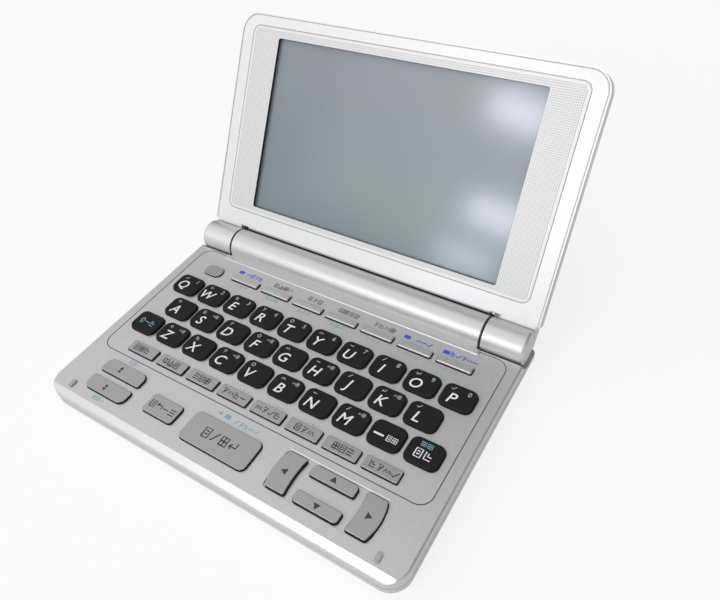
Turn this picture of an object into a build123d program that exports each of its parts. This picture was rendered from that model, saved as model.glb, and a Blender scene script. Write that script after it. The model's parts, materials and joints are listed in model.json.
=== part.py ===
from build123d import *
import os
from math import acos, atan2, cos, degrees, radians, sin, sqrt

# Pocket electronic dictionary: a clamshell with a keyboard base and a screen lid.
# Millimetres. X runs along the hinge, Y points to the back, Z points up.
# Every piece is first built with the hinge axis at Y = 0 and the table at Z = 0,
# and is moved at the end so that the origin lies under the middle of the whole object.
# The lid is drawn flat: its own Y runs up the lid, its own Z points out of the screen.

# ---------------------------------------------------------------- driving dimensions
# base case
base_width = 145.0
base_front = 91.2            # from the hinge axis to the front edge, and to the lid's top
case_height = 9.0            # from the underside to the keyboard panel
foot_height = 0.6
case_wall = 1.8
floor_thickness = 1.4
panel_thickness = 1.8
front_corner_radius = 7.0
rear_corner_radius = 2.5
front_slope_run = 2.6        # the sloping front edge, measured along Y
front_slope_drop = 2.0
front_slope_foot = 1.6       # radius where the slope turns into the front wall
top_edge_radius = 0.8
bottom_chamfer = 1.6
parting_height = 4.2         # of the joint line above the underside
parting_groove = 0.3
cavity_front = 5.0           # solid nose between the front edge and the cavity

# hinge and barrels
axis_over_panel = 1.2
barrel_radius = 6.4
barrel_gap = 0.4             # sideways gap between the fixed barrel and the lid's barrels
barrel_end_radius = 1.2      # soft outer ends of the lid's barrels
swing_clearance = 0.35       # round the lid's barrels
fairing_depth = 3.1          # flat strip in front of the fixed barrel
fairing_rise = 0.4
fairing_overhang = 1.0
pin_radius = 2.0
pin_running_clearance = 0.05
pin_hollow_radius = 1.3
end_room_length = 5.0        # hollow outer end of each lid barrel
clutch_radius = 4.8
clutch_length = 6.2
clutch_clearance = 0.1
end_cap_radius = 4.9
end_cap_thickness = 1.2
end_room_radius = 4.0        # hollow end of each lid barrel, where the cable turns
end_inset = 0.9              # of the lid barrels' ends from the lid's sides

# lid
lid_thickness = 7.0
lid_open = 122.5             # degrees from closed, at rest
screen_face_offset = 1.85    # the screen side lies this far behind the hinge axis
lid_corner_radius = 7.5
lid_edge_radius = 2.2
lid_wall = 1.5
cover_bottom = 7.4
frame_depth = 2.2
frame_inset = 0.5            # the cover's rim shows round the frame
frame_edge_radius = 0.5
lip_inset = 1.0              # the frame's lip above the fixed barrel is this much shorter
lip_bottom = 6.6
arm_offset = 2.5             # from the fixed barrel to where the frame reaches down
arm_bottom = 6.2
arm_top = 14.0               # where the cover's back starts to taper to the barrel
surround_side = 5.8          # from the lid's side to the plate round the screen
surround_bottom = 13.9
surround_head = 4.4          # from the plate to the lid's top edge
surround_thickness = 0.8
surround_corner = 3.2
surround_clearance = 0.15
screen_side = 12.7           # the plate's width beside the screen
screen_sill = 2.9            # the plate's width below the screen
screen_head = 3.6            # the plate's width above the screen
screen_corner = 0.8
screen_recess = 1.5
screen_margin = 1.7          # of the display beyond its visible area
display_thickness = 2.0
gasket_wall = 0.4
gasket_reach = 1.5
rib_inset = 9.0              # of the outer display ribs from the screen's sides
rib_margin = 6.0
inner_clearance = 0.2

# keys
letter_rows = ("qwertyuiop", "asdfghjkl", ("shift", *"zxcvbnm", "dash", "delete"))
key_travel = 0.6
key_clearance = 0.2
key_flange = 0.6
key_flange_thickness = 0.6
flange_gap = 0.05
letter_gap = 1.48            # between two letter keys of a row
letter_row_gap = 2.32        # between two rows of letter keys
letter_corner = 2.6
letter_height = 1.2
letter_edge = 0.5
letter_side_room = 2.3       # from the groove round the keyboard to ten key pitches
first_row = 28.95            # from the hinge axis to the middle of the first row
metal_key_height = 0.9
metal_key_edge = 0.25
upper_key_edge = 0.7         # the upper comb's narrow keys have round backs
upper_count = 7
upper_gap = 2.1              # between two keys of the upper comb
upper_depth = 3.1
upper_side_room = 14.65
upper_row = 16.85
upper_centre = 6.3
lower_count = 8
lower_gap = 1.88
lower_depth = 4.6
lower_side_room = 10.28
lower_row_margin = 4.8       # from the groove's front line to the lower comb
lower_row_step = 10.71       # from the lower comb to the last row of letters
strip_corner = 0.5
runner_width = 1.6
runner_gap = 1.2
tongue_width = 7.0
power_inset = 12.5           # from the groove's side to the middle of the key
power_row = 17.6
power_size = (8.4, 5.3)
power_corner = 2.4
power_height = 0.6
front_row_margin = 12.6      # from the front edge to the middle of the enter key
enter_size = (27.6, 11.4)
enter_corner = 2.2
back_centre = -25.5
back_size = (13.4, 7.4)
back_corner = 1.3
page_inset = 18.9            # from the groove's side to the middle of the page keys
page_size = (19.0, 5.7)
page_row_step = 0.85         # behind the enter key's middle
page_offset = 4.0            # of each page key from the middle of the pair
page_outer_corner = 2.7
page_inner_corner = 1.0
arrow_inset = 28.1           # from the groove's side to the middle of the arrows
arrow_row_step = 1.05        # behind the enter key's middle
arrow_half_height = 6.65
arrow_middle_width = 16.0
arrow_middle_depth = 4.0
arrow_side_inner = 10.6      # from the middle of the cluster to a side key's inner edge
arrow_side_width = 7.0
arrow_bulge = 1.3
arrow_corner = 0.7
dish_margin = 1.2
dish_depth = 0.4

# things inside and under the base
board_thickness = 1.0
board_height = 3.0           # of the board's underside above the case's underside
board_side = 9.0             # from the case's side
board_front_margin = 6.5     # from the case's front
board_rear = 11.5
board_corner = 1.5
board_post_radius = 1.6
board_post_inset = (3.5, 4.0)
board_post_rear = 20.0
board_post_middle = 45.0
chips = (                    # middle and size of each, on the underside of the board
    (-32.0, -38.0, 20.0, 20.0),
    (28.0, -38.0, 14.0, 20.0),
    (2.0, -68.0, 12.0, 8.0),
    (-48.0, -62.0, 8.0, 5.0),
)
chip_thickness = 1.0
mat_thickness = 0.8
mat_rear = 14.5
dome_gap = 0.1               # left between a fully pressed key and its dome
dome_slope = 0.5
dome_share = 0.24            # radius of a dome's top, to the smaller side of its key
cell_radius = 5.25
cell_length = 44.5
cell_nub_radius = 1.9
cell_nub_length = 0.8
cell_edge = 0.4
cell_clearance = 0.25
contact_room = 3.1           # at each end of the two cells
bay_wall = 1.3               # between the cells' bay and a clutch's pocket
contact_thickness = 0.4
contact_width = 7.6
contact_nose = 1.8
tail_room = 0.9              # for the flexible tail, inside each clutch
tail_rise = 1.6              # of the tail above the board
door_side = 6.0              # from the fixed barrel's end to the door
door_front = 7.6
door_thickness = 1.4
door_clearance = 0.1
door_tongue = 0.9
door_tongue_width = 8.0
door_rail_height = 0.5
door_rib_count = 9
door_rib_width = 1.0
door_rib_depth = 0.4
door_rib_front = 3.8
door_rib_rear = 2.13
screw_inset = 5.0            # from the case's side
screw_rear = 13.5
screw_middle = 40.5
screw_front_margin = 9.5
boss_radius = 2.6
screw_head_radius = 2.0
screw_head_height = 0.9
screw_head_recess = 0.2
screw_shank_radius = 0.9
lid_screw_inset = 9.5        # from the lid's side
lid_screw_foot = 20.0
lid_screw_head_margin = 10.2 # from the lid's top edge
lid_boss_radius = 2.6
foot_size = (10.0, 4.0)
foot_door_gap = 2.1          # from the battery door's rail to a foot
foot_rear = 1.6
foot_front_margin = 9.5
foot_recess = 0.4
pad_size = (1.8, 3.3)
pad_inset = 9.3              # from the case's side
pad_front_margin = 5.2
pad_height = 0.6
pad_recess = 0.6
groove_side = 4.3            # from the case's side to the line round the keyboard
palm_depth = 23.7            # from the front edge to the line round the keyboard
groove_rear = 7.8
groove_width = 0.35
groove_depth = 0.3
groove_corner = 4.5
groove_margin = 0.1          # cut above the panel
round_end_flat = 0.1         # the flat middle of a small rounded end
cut_margin = 1.0             # how far a cut goes past the face it opens
cable_radius = 1.1
cable_turn = 2.2             # from a lid barrel's end to the middle of the ribbon
ribbon_thickness = 0.3
ribbon_width = 2.0
ribbon_turn = 4.6            # from the axis up the lid, where the ribbon turns flat
ribbon_rise = 10.5           # where it turns towards the display
ribbon_inset = 8.0           # of its end from the screen's side
slot_gap = 0.3

# ---------------------------------------------------------------- derived places
underside = foot_height
panel_z = underside + case_height
floor_z = underside + floor_thickness
ceiling_z = panel_z - panel_thickness
parting_z = underside + parting_height
axis_z = panel_z + axis_over_panel
rear_y = barrel_radius
half_width = base_width / 2
lid_width = base_width
lid_top = base_front
swing_radius = barrel_radius + swing_clearance
cavity_rear = -(swing_radius + case_wall)
key_bottom_z = ceiling_z - flange_gap - key_flange_thickness
board_z = underside + board_height
mat_z = board_z + board_thickness
dome_top_z = key_bottom_z - key_travel - dome_gap
bay_radius = cell_radius + cell_clearance
bay_half = cell_length + contact_room
pocket_floor = bay_half + bay_wall
barrel_half = pocket_floor + tail_room + clutch_length
lid_barrel_start = barrel_half + barrel_gap
lid_barrel_end = lid_width / 2 - end_inset
tail_x = pocket_floor + (tail_room - ribbon_thickness) / 2
tail_top = mat_z + tail_rise
tail_bend = cavity_rear - ribbon_width / 3
pin_start = barrel_half - clutch_length
pin_end = lid_barrel_end - end_room_length
face_z = -screen_face_offset
frame_back_z = face_z - frame_depth
cover_back_z = face_z - lid_thickness
display_face_z = face_z - screen_recess
display_back_z = display_face_z - display_thickness
ribbon_z = display_back_z - ribbon_thickness / 2
ribbon_x = lid_barrel_end - cable_turn
lip_half = barrel_half - lip_inset
arm_start = barrel_half + arm_offset
surround_half_width = lid_width / 2 - surround_side
surround_top = lid_top - surround_head
screen_half_width = surround_half_width - screen_side
screen_bottom = surround_bottom + screen_sill
screen_top = surround_top - screen_head
ribbon_end = screen_half_width - ribbon_inset
display_ribs = (rib_inset - screen_half_width, 0.0, screen_half_width - rib_inset)
lid_screw_x = lid_width / 2 - lid_screw_inset
lid_screw_rows = (lid_screw_foot, lid_top - lid_screw_head_margin)
groove_half_width = half_width - groove_side
groove_front = base_front - palm_depth
lower_row = groove_front - lower_row_margin
row_pitch = (lower_row - lower_row_step - first_row) / 2
letter_pitch = 2 * (groove_half_width - letter_side_room) / len(letter_rows[0])
letter_width = letter_pitch - letter_gap
letter_depth = row_pitch - letter_row_gap
upper_pitch = 2 * (groove_half_width - upper_side_room) / upper_count
upper_width = upper_pitch - upper_gap
lower_pitch = 2 * (groove_half_width - lower_side_room) / lower_count
lower_width = lower_pitch - lower_gap
power_place = (power_inset - groove_half_width, power_row)
front_row = base_front - front_row_margin
page_centre = page_inset - groove_half_width
page_row = front_row - page_row_step
arrow_centre = (groove_half_width - arrow_inset, front_row - arrow_row_step)
board_half_width = half_width - board_side
board_front = base_front - board_front_margin
board_post_x = board_half_width - board_post_inset[0]
board_post_front = board_front - board_post_inset[1]
board_posts = [(side * board_post_x, -row) for side in (-1, 1)
               for row in (board_post_rear, board_post_front)] + [(0.0, -board_post_middle)]
door_half = barrel_half - door_side
screw_x = half_width - screw_inset
screw_rows = (screw_rear, screw_middle, base_front - screw_front_margin)
foot_x = door_half + door_tongue + foot_door_gap + foot_size[0] / 2
foot_rows = (foot_rear, base_front - foot_front_margin)
foot_corner = foot_size[1] / 2 - round_end_flat
pad_x = half_width - pad_inset
pad_row = base_front - pad_front_margin
pad_corner = pad_size[0] / 2 - round_end_flat


# ---------------------------------------------------------------- small helpers
def block(x0, x1, y0, y1, z0, z1):
    """A box between two corners."""
    return Pos((x0 + x1) / 2, (y0 + y1) / 2, (z0 + z1) / 2) * Box(x1 - x0, y1 - y0, z1 - z0)


def prism(sketch, z0, z1):
    """A flat outline carried from one height to another."""
    return extrude(Plane.XY.offset(z0) * sketch, z1 - z0, dir=(0, 0, 1))


def rod(radius, x0, x1, y=0.0, z=0.0):
    """A round bar along X."""
    return Pos((x0 + x1) / 2, y, z) * Rot(0, 90, 0) * Cylinder(radius, x1 - x0)


def post(radius, x, y, z0, z1):
    """A round bar along Z."""
    return Pos(x, y, (z0 + z1) / 2) * Cylinder(radius, z1 - z0)


def side_profile(points, x0, x1):
    """A polygon in Y and Z carried along X."""
    face = Plane.YZ * Polygon(*points, align=None)
    return Pos(x0, 0, 0) * extrude(face, x1 - x0, dir=(1, 0, 0))


def outline(half_width, y0, y1, front_radius, back_radius):
    """A rectangle whose front corners and back corners have their own radius."""
    face = Polygon(
        (-half_width, y0), (half_width, y0), (half_width, y1), (-half_width, y1), align=None
    )
    corners = face.vertices().group_by(Axis.Y)
    if front_radius > 0:
        face = fillet(corners[0], front_radius)
        corners = face.vertices().group_by(Axis.Y)
    if back_radius > 0:
        face = fillet(corners[-1], back_radius)
    return face


# ---------------------------------------------------------------- key outlines
def rounded(width, depth, radius):
    return RectangleRounded(width, depth, radius)


def page_outline(side):
    """One half of the page oval: wide corners on the outside of the pair."""
    width, depth = page_size
    radii = (page_inner_corner, page_outer_corner)
    if side < 0:
        radii = (page_outer_corner, page_inner_corner)
    return outline(width / 2, -depth / 2, depth / 2, radii[0], radii[1])


def arrow_side_outline(side):
    """A side arrow key: its outer edge bows out, its inner edge follows gently."""
    inner = arrow_side_inner
    outer = arrow_side_inner + arrow_side_width
    top = arrow_half_height
    bow = arrow_bulge
    lines = [
        Line((inner, -top), (outer, -top)),
        ThreePointArc((outer, -top), (outer + bow, 0), (outer, top)),
        Line((outer, top), (inner, top)),
        ThreePointArc((inner, top), (inner + bow / 2, 0), (inner, -top)),
    ]
    face = make_face(Curve() + lines)
    face = fillet(face.vertices(), arrow_corner)
    return face if side > 0 else mirror(face, Plane.YZ)


def arrow_middle_outline(side):
    """The upper or the lower arrow key: its outer corners are rounder."""
    half = arrow_middle_width / 2
    depth = arrow_middle_depth / 2
    radii = (arrow_corner, arrow_corner * 2) if side > 0 else (arrow_corner * 2, arrow_corner)
    return outline(half, -depth, depth, radii[0], radii[1])


def key_table():
    """Every single key: name, middle, outline, height above the panel, edge radius."""
    table = []
    for row, names in enumerate(letter_rows):
        y = -(first_row + row * row_pitch)
        for column, name in enumerate(names):
            x = (column - (len(names) - 1) / 2) * letter_pitch
            face = rounded(letter_width, letter_depth, letter_corner)
            table.append((f"key_{name}", (x, y), face, letter_height, letter_edge))
    x, y = power_place
    table.append(("key_power", (x, -y), rounded(*power_size, power_corner),
                  power_height, metal_key_edge))
    for name, side in (("page_up", 1), ("page_down", -1)):
        place = (page_centre, -page_row + side * page_offset)
        table.append((f"key_{name}", place, page_outline(side),
                      metal_key_height, metal_key_edge))
    table.append(("key_back", (back_centre, -front_row), rounded(*back_size, back_corner),
                  metal_key_height, metal_key_edge))
    table.append(("key_enter", (0, -front_row), rounded(*enter_size, enter_corner),
                  metal_key_height, metal_key_edge))
    x, y = arrow_centre
    for name, side in (("left", -1), ("right", 1)):
        table.append((f"key_{name}", (x, -y), arrow_side_outline(side),
                      metal_key_height, metal_key_edge))
    offset = arrow_half_height - arrow_middle_depth / 2
    for name, side in (("up", 1), ("down", -1)):
        place = (x, -y + side * offset)
        table.append((f"key_{name}", place, arrow_middle_outline(side),
                      metal_key_height, metal_key_edge))
    return table


def strip_centres(count, pitch, centre):
    return [centre + (i - (count - 1) / 2) * pitch for i in range(count)]


def strip_table():
    """The two combs of function keys: name, key middles, key size, edge radius, runner's side."""
    upper = strip_centres(upper_count, upper_pitch, upper_centre)
    lower = strip_centres(lower_count, lower_pitch, 0.0)
    return [
        ("upper_function_strip", [(x, -upper_row) for x in upper],
         (upper_width, upper_depth), upper_key_edge, 1),
        ("lower_function_strip", [(x, -lower_row) for x in lower],
         (lower_width, lower_depth), metal_key_edge, -1),
    ]


# ---------------------------------------------------------------- keys
def key_cap(face, height, edge):
    """A cap through the panel with a soft top edge and a flange that stops it below."""
    top = panel_z + height
    cap = prism(face, key_bottom_z, top)
    cap = fillet(cap.faces().sort_by(Axis.Z)[-1].edges(), edge)
    rim = offset(face, key_flange)
    return cap + prism(rim, key_bottom_z, key_bottom_z + key_flange_thickness)


def single_keys():
    pieces = {}
    for name, (x, y), face, height, edge in key_table():
        pieces[name] = Pos(x, y, 0) * key_cap(face, height, edge)
    return pieces


def function_strips():
    pieces = {}
    for name, places, (width, depth), edge, side in strip_table():
        face = rounded(width, depth, strip_corner)
        z0, z1 = key_bottom_z, key_bottom_z + key_flange_thickness
        y = places[0][1]
        start = y + side * (depth / 2 + key_flange + runner_gap)
        end = start + side * runner_width
        left = places[0][0] - width / 2
        right = places[-1][0] + width / 2
        strip = block(left, right, min(start, end), max(start, end), z0, z1)
        for x, _ in places:
            strip += Pos(x, y, 0) * key_cap(face, metal_key_height, edge)
            strip += block(x - tongue_width / 2, x + tongue_width / 2,
                           min(y, start), max(y, start), z0, z1)
        pieces[name] = strip
    return pieces


def key_openings():
    """Every hole in the panel, as a flat outline at its place."""
    holes = []
    for _, (x, y), face, _, _ in key_table():
        holes.append(Pos(x, y, 0) * offset(face, key_clearance))
    for _, places, (width, depth), _, _ in strip_table():
        face = rounded(width + 2 * key_clearance, depth + 2 * key_clearance,
                       strip_corner + key_clearance)
        holes += [Pos(x, y, 0) * face for x, y in places]
    return holes


# ---------------------------------------------------------------- base case
def base_outline(inset=0.0):
    """The base seen from above, drawn in by a wall where asked."""
    return outline(half_width - inset, -base_front + inset, rear_y - inset,
                   front_corner_radius - inset, rear_corner_radius)


def base_block():
    """The base without its barrel: a slab with soft rims and a sloping front edge."""
    slab = prism(base_outline(), underside, panel_z)
    slab = fillet(slab.edges().group_by(Axis.Z)[-1], top_edge_radius)
    slab = chamfer(slab.edges().group_by(Axis.Z)[0], bottom_chamfer)
    slope_top = (-base_front + front_slope_run, panel_z)
    slope_foot = (-base_front, panel_z - front_slope_drop)
    profile = make_face([
        Line((-base_front, underside), slope_foot),
        Line(slope_foot, slope_top),
        Line(slope_top, (rear_y, panel_z)),
        Line((rear_y, panel_z), (rear_y, underside)),
        Line((rear_y, underside), (-base_front, underside)),
    ])
    foot = profile.vertices().sort_by_distance(slope_foot)[0]
    profile = fillet(foot, front_slope_foot)
    return slab & extrude(Plane.YZ * profile, half_width, both=True)


def barrel_block():
    """The round back of the base, straight down behind the axis."""
    face = Circle(barrel_radius)
    face += Rectangle(2 * barrel_radius, barrel_radius, align=(Align.CENTER, Align.MAX))
    bar = extrude(Plane.YZ * face, barrel_half, both=True)
    return Pos(0, 0, axis_z) * bar & block(
        -barrel_half, barrel_half, -barrel_radius, barrel_radius,
        panel_z - fairing_rise, axis_z + barrel_radius)


def fairing():
    """The flat strip in front of the fixed barrel."""
    half = barrel_half + fairing_overhang
    front = -(barrel_radius + fairing_depth)
    strip = block(-half, half, front, 0, panel_z - fairing_rise, panel_z + fairing_rise)
    edges = strip.edges().group_by(Axis.Z)[-1].group_by(Axis.Y)[0]
    return chamfer(edges, fairing_rise / 2)


def base_form():
    """The closed outer form of the base, before it is split into cases and door."""
    form = base_block() + barrel_block() + fairing()
    for side in (-1, 1):
        x0, x1 = sorted((side * barrel_half, side * base_width))
        form -= rod(swing_radius, x0, x1, 0, axis_z)
        form -= block(x0, x1, 0, 2 * rear_y, axis_z - swing_radius, axis_z + swing_radius)
    return form


def battery_bay():
    """The room for the cells: a round roof over a slot down to the door."""
    bay = rod(bay_radius, -bay_half, bay_half, 0, axis_z)
    return bay + block(-bay_half, bay_half, -bay_radius, bay_radius,
                       underside + door_thickness, axis_z)


def clutch_pockets():
    """A round pocket in each end of the fixed barrel, and the way out for the cable."""
    pockets = []
    for side in (-1, 1):
        x0, x1 = sorted((side * pocket_floor, side * (barrel_half + barrel_gap / 2)))
        pockets.append(rod(clutch_radius + clutch_clearance, x0, x1, 0, axis_z))
    roof = axis_z + cable_radius + slot_gap
    slot_rear = cavity_rear - cut_margin
    pockets.append(side_profile([
        (slot_rear, parting_z), (0, parting_z), (0, roof), (-cable_radius, roof),
        (tail_bend, tail_top + slot_gap), (slot_rear, tail_top + slot_gap),
    ], -pocket_floor - tail_room, -pocket_floor))
    return pockets


def cavity(z0, z1):
    """The hollow inside both cases, behind the solid nose."""
    face = outline(half_width - case_wall, -base_front + cavity_front, cavity_rear,
                   front_corner_radius - case_wall, rear_corner_radius)
    return prism(face, z0, z1)


def case_screw_places():
    return [(side * screw_x, -row) for row in screw_rows for side in (-1, 1)]


def panel_groove():
    """The fine line round the keyboard, run out under the fairing."""
    mean = outline(groove_half_width, -groove_front, -groove_rear, groove_corner, groove_corner)
    ring = offset(mean, groove_width / 2) - offset(mean, -groove_width / 2)
    return prism(ring, panel_z - groove_depth, panel_z + groove_margin)


def arrow_dish():
    """The shallow dish that the four arrow keys stand in."""
    half = arrow_side_inner + arrow_side_width + dish_margin
    x, y = arrow_centre
    face = Pos(x, -y) * rounded(2 * half, 2 * (arrow_half_height + dish_margin / 2),
                                arrow_corner + dish_margin)
    return prism(face, panel_z - dish_depth, panel_z + dish_depth)


def parting_line():
    """The fine groove where the two cases meet."""
    ring = base_outline() - base_outline(parting_groove)
    return prism(ring, parting_z, parting_z + parting_groove)


def pad_pockets():
    places = [(side * pad_x, -pad_row) for side in (-1, 1)]
    face = rounded(*pad_size, pad_corner)
    return [prism(Pos(x, y) * face, panel_z - pad_recess, panel_z + pad_recess)
            for x, y in places]


def upper_case():
    """The keyboard panel, its walls and the fixed barrel."""
    case = base_form() & block(-base_width, base_width, -base_width, base_width,
                               parting_z, axis_z + swing_radius)
    case -= cavity(parting_z, ceiling_z)
    for x, y in case_screw_places():
        case += post(boss_radius, x, y, parting_z, ceiling_z)
        case -= post(screw_shank_radius, x, y, parting_z, ceiling_z - inner_clearance)
    case -= battery_bay()
    case -= clutch_pockets()
    case -= prism(Sketch() + key_openings(), ceiling_z - cut_margin, panel_z + cut_margin)
    case -= arrow_dish()
    case -= panel_groove()
    case -= parting_line()
    case -= pad_pockets()
    return case


def door_outline(gap=0.0):
    """The door seen from below: a plate with a rail on each side and tongues in front."""
    z1 = underside + door_thickness
    plate = block(-door_half - gap, door_half + gap, -door_front - gap, rear_y + gap,
                  underside - gap, z1 + gap)
    rail_z = underside + door_thickness / 2
    half = door_rail_height / 2 + gap
    reach = door_half + door_tongue + gap
    plate += block(-reach, reach, -door_front + door_tongue - gap, rear_y + gap,
                   rail_z - half, rail_z + half)
    for side in (-1, 1):
        x = side * door_half / 2
        plate += block(x - door_tongue_width / 2 - gap, x + door_tongue_width / 2 + gap,
                       -door_front - door_tongue - gap, 0, rail_z - half, rail_z + half)
    return plate


def lower_case():
    """The tray under the keyboard, with the board's posts and the screws' seats."""
    case = base_form() & block(-base_width, base_width, -base_width, base_width,
                               underside, parting_z)
    case -= cavity(floor_z, parting_z)
    for x, y in board_posts:
        case += post(board_post_radius, x, y, floor_z, board_z)
    for x, y in case_screw_places():
        case += post(boss_radius, x, y, floor_z, parting_z)
        case -= post(screw_shank_radius, x, y, underside, parting_z)
        case -= post(screw_head_radius + inner_clearance, x, y, underside,
                     underside + screw_head_recess + screw_head_height)
    case -= battery_bay()
    case -= door_outline(door_clearance)
    for x, y in foot_places():
        case -= block(x - foot_size[0] / 2, x + foot_size[0] / 2, y - foot_size[1] / 2,
                      y + foot_size[1] / 2, underside, underside + foot_recess)
    return case


def battery_door():
    """The sliding door under the cells, with ribs for the thumb."""
    door = base_block() & door_outline()
    for i in range(door_rib_count):
        x = (i - (door_rib_count - 1) / 2) * 2 * door_rib_width
        door -= block(x - door_rib_width / 2, x + door_rib_width / 2,
                      -door_rib_front, door_rib_rear, underside, underside + door_rib_depth)
    return door


# ---------------------------------------------------------------- under and on the base
def foot_places():
    return [(side * foot_x, -row) for row in foot_rows for side in (-1, 1)]


def rubber_feet():
    foot = prism(rounded(*foot_size, foot_corner), 0, underside + foot_recess)
    return [Pos(x, y, 0) * foot for x, y in foot_places()]


def case_screws():
    """Six screws from below, heads sunk in the tray."""
    head_z = underside + screw_head_recess + screw_head_height
    screws = []
    for x, y in case_screw_places():
        screw = post(screw_head_radius, x, y, head_z - screw_head_height, head_z)
        screw += post(screw_shank_radius, x, y, head_z, ceiling_z - 2 * inner_clearance)
        screw -= post(screw_head_radius / 2, x, y, head_z - screw_head_height,
                      head_z - screw_head_height / 2)
        screws.append(screw)
    return screws


def closing_pads():
    """Two small soft buttons that the closed lid comes down on."""
    face = rounded(*pad_size, pad_corner)
    pads = []
    for side in (-1, 1):
        pad = prism(Pos(side * pad_x, -pad_row) * face, panel_z - pad_recess,
                    panel_z + pad_height)
        pads.append(fillet(pad.faces().sort_by(Axis.Z)[-1].edges(), pad_height / 2))
    return pads


# ---------------------------------------------------------------- inside the base
def dome_places():
    """The middle of every key cap, with the smaller side of the cap."""
    places = []
    for _, (x, y), face, _, _ in key_table():
        box = face.bounding_box()
        middle = box.center()
        places.append((x + middle.X, y + middle.Y, min(box.size.X, box.size.Y)))
    for _, centres, (width, depth), _, _ in strip_table():
        places += [(x, y, min(width, depth)) for x, y in centres]
    return places


def key_mat():
    """One soft sheet with a dome under each key."""
    sheet_top = mat_z + mat_thickness
    mat = block(-board_half_width, board_half_width, -board_front, -mat_rear,
                mat_z, sheet_top)
    height = dome_top_z - sheet_top
    for x, y, size in dome_places():
        radius = size * dome_share
        mat += Pos(x, y, sheet_top + height / 2) * Cone(
            radius + dome_slope * height, radius, height)
    return mat


def circuit_board():
    """The board, its chips, and the flexible tail up to the hinge."""
    face = outline(board_half_width, -board_front, -board_rear, board_corner, board_corner)
    board = prism(face, board_z, mat_z)
    parts = [board]
    for x, y, width, depth in chips:
        parts.append(block(x - width / 2, x + width / 2, y - depth / 2, y + depth / 2,
                           board_z - chip_thickness, board_z))
    foot = -mat_rear + ribbon_thickness
    low = axis_z - cable_radius
    tail = side_profile([
        (foot, mat_z), (tail_bend, mat_z), (cable_radius, low),
        (cable_radius, axis_z + cable_radius), (-cable_radius, axis_z + cable_radius),
        (tail_bend, tail_top), (foot, tail_top),
    ], -tail_x - ribbon_thickness, -tail_x)
    return parts + [tail]


def battery_cells():
    """Two slim round cells end to end, each with its nub."""
    can_length = cell_length - cell_nub_length
    cells = []
    for x0 in (-cell_length, 0):
        cell = rod(cell_radius, x0 + cell_nub_length, x0 + cell_length, 0, axis_z)
        cell = fillet(cell.edges(), cell_edge)
        cell += rod(cell_nub_radius, x0, x0 + cell_nub_length, 0, axis_z)
        cells.append(cell)
    return cells


def battery_contacts():
    """A bent leaf at each end of the bay, pressing on the cells."""
    contacts = []
    outer = bay_half
    for side in (-1, 1):
        tip = cell_length
        plate = [(outer, -contact_width / 2), (outer, contact_width / 2),
                 (outer - contact_thickness, contact_width / 2),
                 (outer - contact_thickness, contact_nose * 1.5),
                 (tip, contact_nose / 2), (tip, -contact_nose / 2),
                 (outer - contact_thickness, -contact_nose * 1.5),
                 (outer - contact_thickness, -contact_width / 2)]
        face = Polygon(*plate, align=None)
        leaf = extrude(Plane.XY * face, contact_width / 2, both=True)
        hollow = [(outer, -contact_nose), (outer, contact_nose),
                  (tip + contact_thickness, contact_nose / 4),
                  (tip + contact_thickness, -contact_nose / 4)]
        leaf -= extrude(Plane.XY * Polygon(*hollow, align=None), contact_width, both=True)
        leaf = Pos(0, 0, axis_z) * leaf
        contacts.append(leaf if side > 0 else mirror(leaf, Plane.YZ))
    return contacts


# ---------------------------------------------------------------- hinge
def hinge_clutches():
    """A friction sleeve in each end of the fixed barrel, round the pin."""
    sleeves = []
    for side in (-1, 1):
        x0, x1 = sorted((side * pin_start, side * barrel_half))
        sleeve = rod(clutch_radius, x0, x1, 0, axis_z)
        sleeves.append(sleeve - rod(pin_radius + pin_running_clearance, x0, x1, 0, axis_z))
    return sleeves


def hinge_pins():
    """Hollow pins, pressed into the lid's barrels and turning in the sleeves."""
    pins = []
    for side in (-1, 1):
        x0, x1 = sorted((side * pin_start, side * pin_end))
        pin = rod(pin_radius, x0, x1)
        pins.append(pin - rod(pin_hollow_radius, x0, x1))
    return pins


def hinge_end_caps():
    """A round cap in the outer end of each lid barrel."""
    caps = []
    for side in (-1, 1):
        x0, x1 = sorted((side * (lid_barrel_end - end_cap_thickness), side * lid_barrel_end))
        cap = rod(end_cap_radius, x0, x1)
        outer_edge = cap.edges().sort_by(Axis.X)[-1 if side > 0 else 0]
        caps.append(chamfer(outer_edge, end_cap_thickness / 4))
    return caps


# ---------------------------------------------------------------- lid, drawn flat
def lid_outline(half_width, bottom, top, radius):
    return outline(half_width, bottom, top, 0, radius)


def arm_web(side):
    """The part of an arm between its barrel and the flat of the lid."""
    reach = sqrt(barrel_radius ** 2 - screen_face_offset ** 2)
    corner = Vector(arm_top, cover_back_z)
    turn = degrees(atan2(corner.Y, corner.X)) - degrees(acos(barrel_radius / corner.length))
    touch = (barrel_radius * cos(radians(turn)), barrel_radius * sin(radians(turn)))
    x0, x1 = sorted((side * lid_barrel_start, side * lid_barrel_end))
    return side_profile([(0, 0), (reach, face_z), (arm_top, face_z),
                         (arm_top, cover_back_z), touch], x0, x1)


def lid_shell():
    """The lid's outer form: a slab with a soft back edge, and an arm at each end."""
    slab = prism(lid_outline(lid_width / 2, -barrel_radius, lid_top, lid_corner_radius),
                 cover_back_z, face_z)
    rim = [edge for edge in slab.faces().sort_by(Axis.Z)[0].edges()
           if edge.center().Y > -barrel_radius + cut_margin]
    slab = fillet(rim, lid_edge_radius)
    flat = slab & block(-lid_width, lid_width, cover_bottom, lid_top, cover_back_z, face_z)
    shell = flat
    for side in (-1, 1):
        x0, x1 = sorted((side * lid_barrel_start, side * lid_barrel_end))
        barrel = rod(barrel_radius, x0, x1)
        outer_edge = barrel.edges().sort_by(Axis.X)[-1 if side > 0 else 0]
        shell += fillet(outer_edge, barrel_end_radius) + (arm_web(side) & slab)
    return shell


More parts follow.
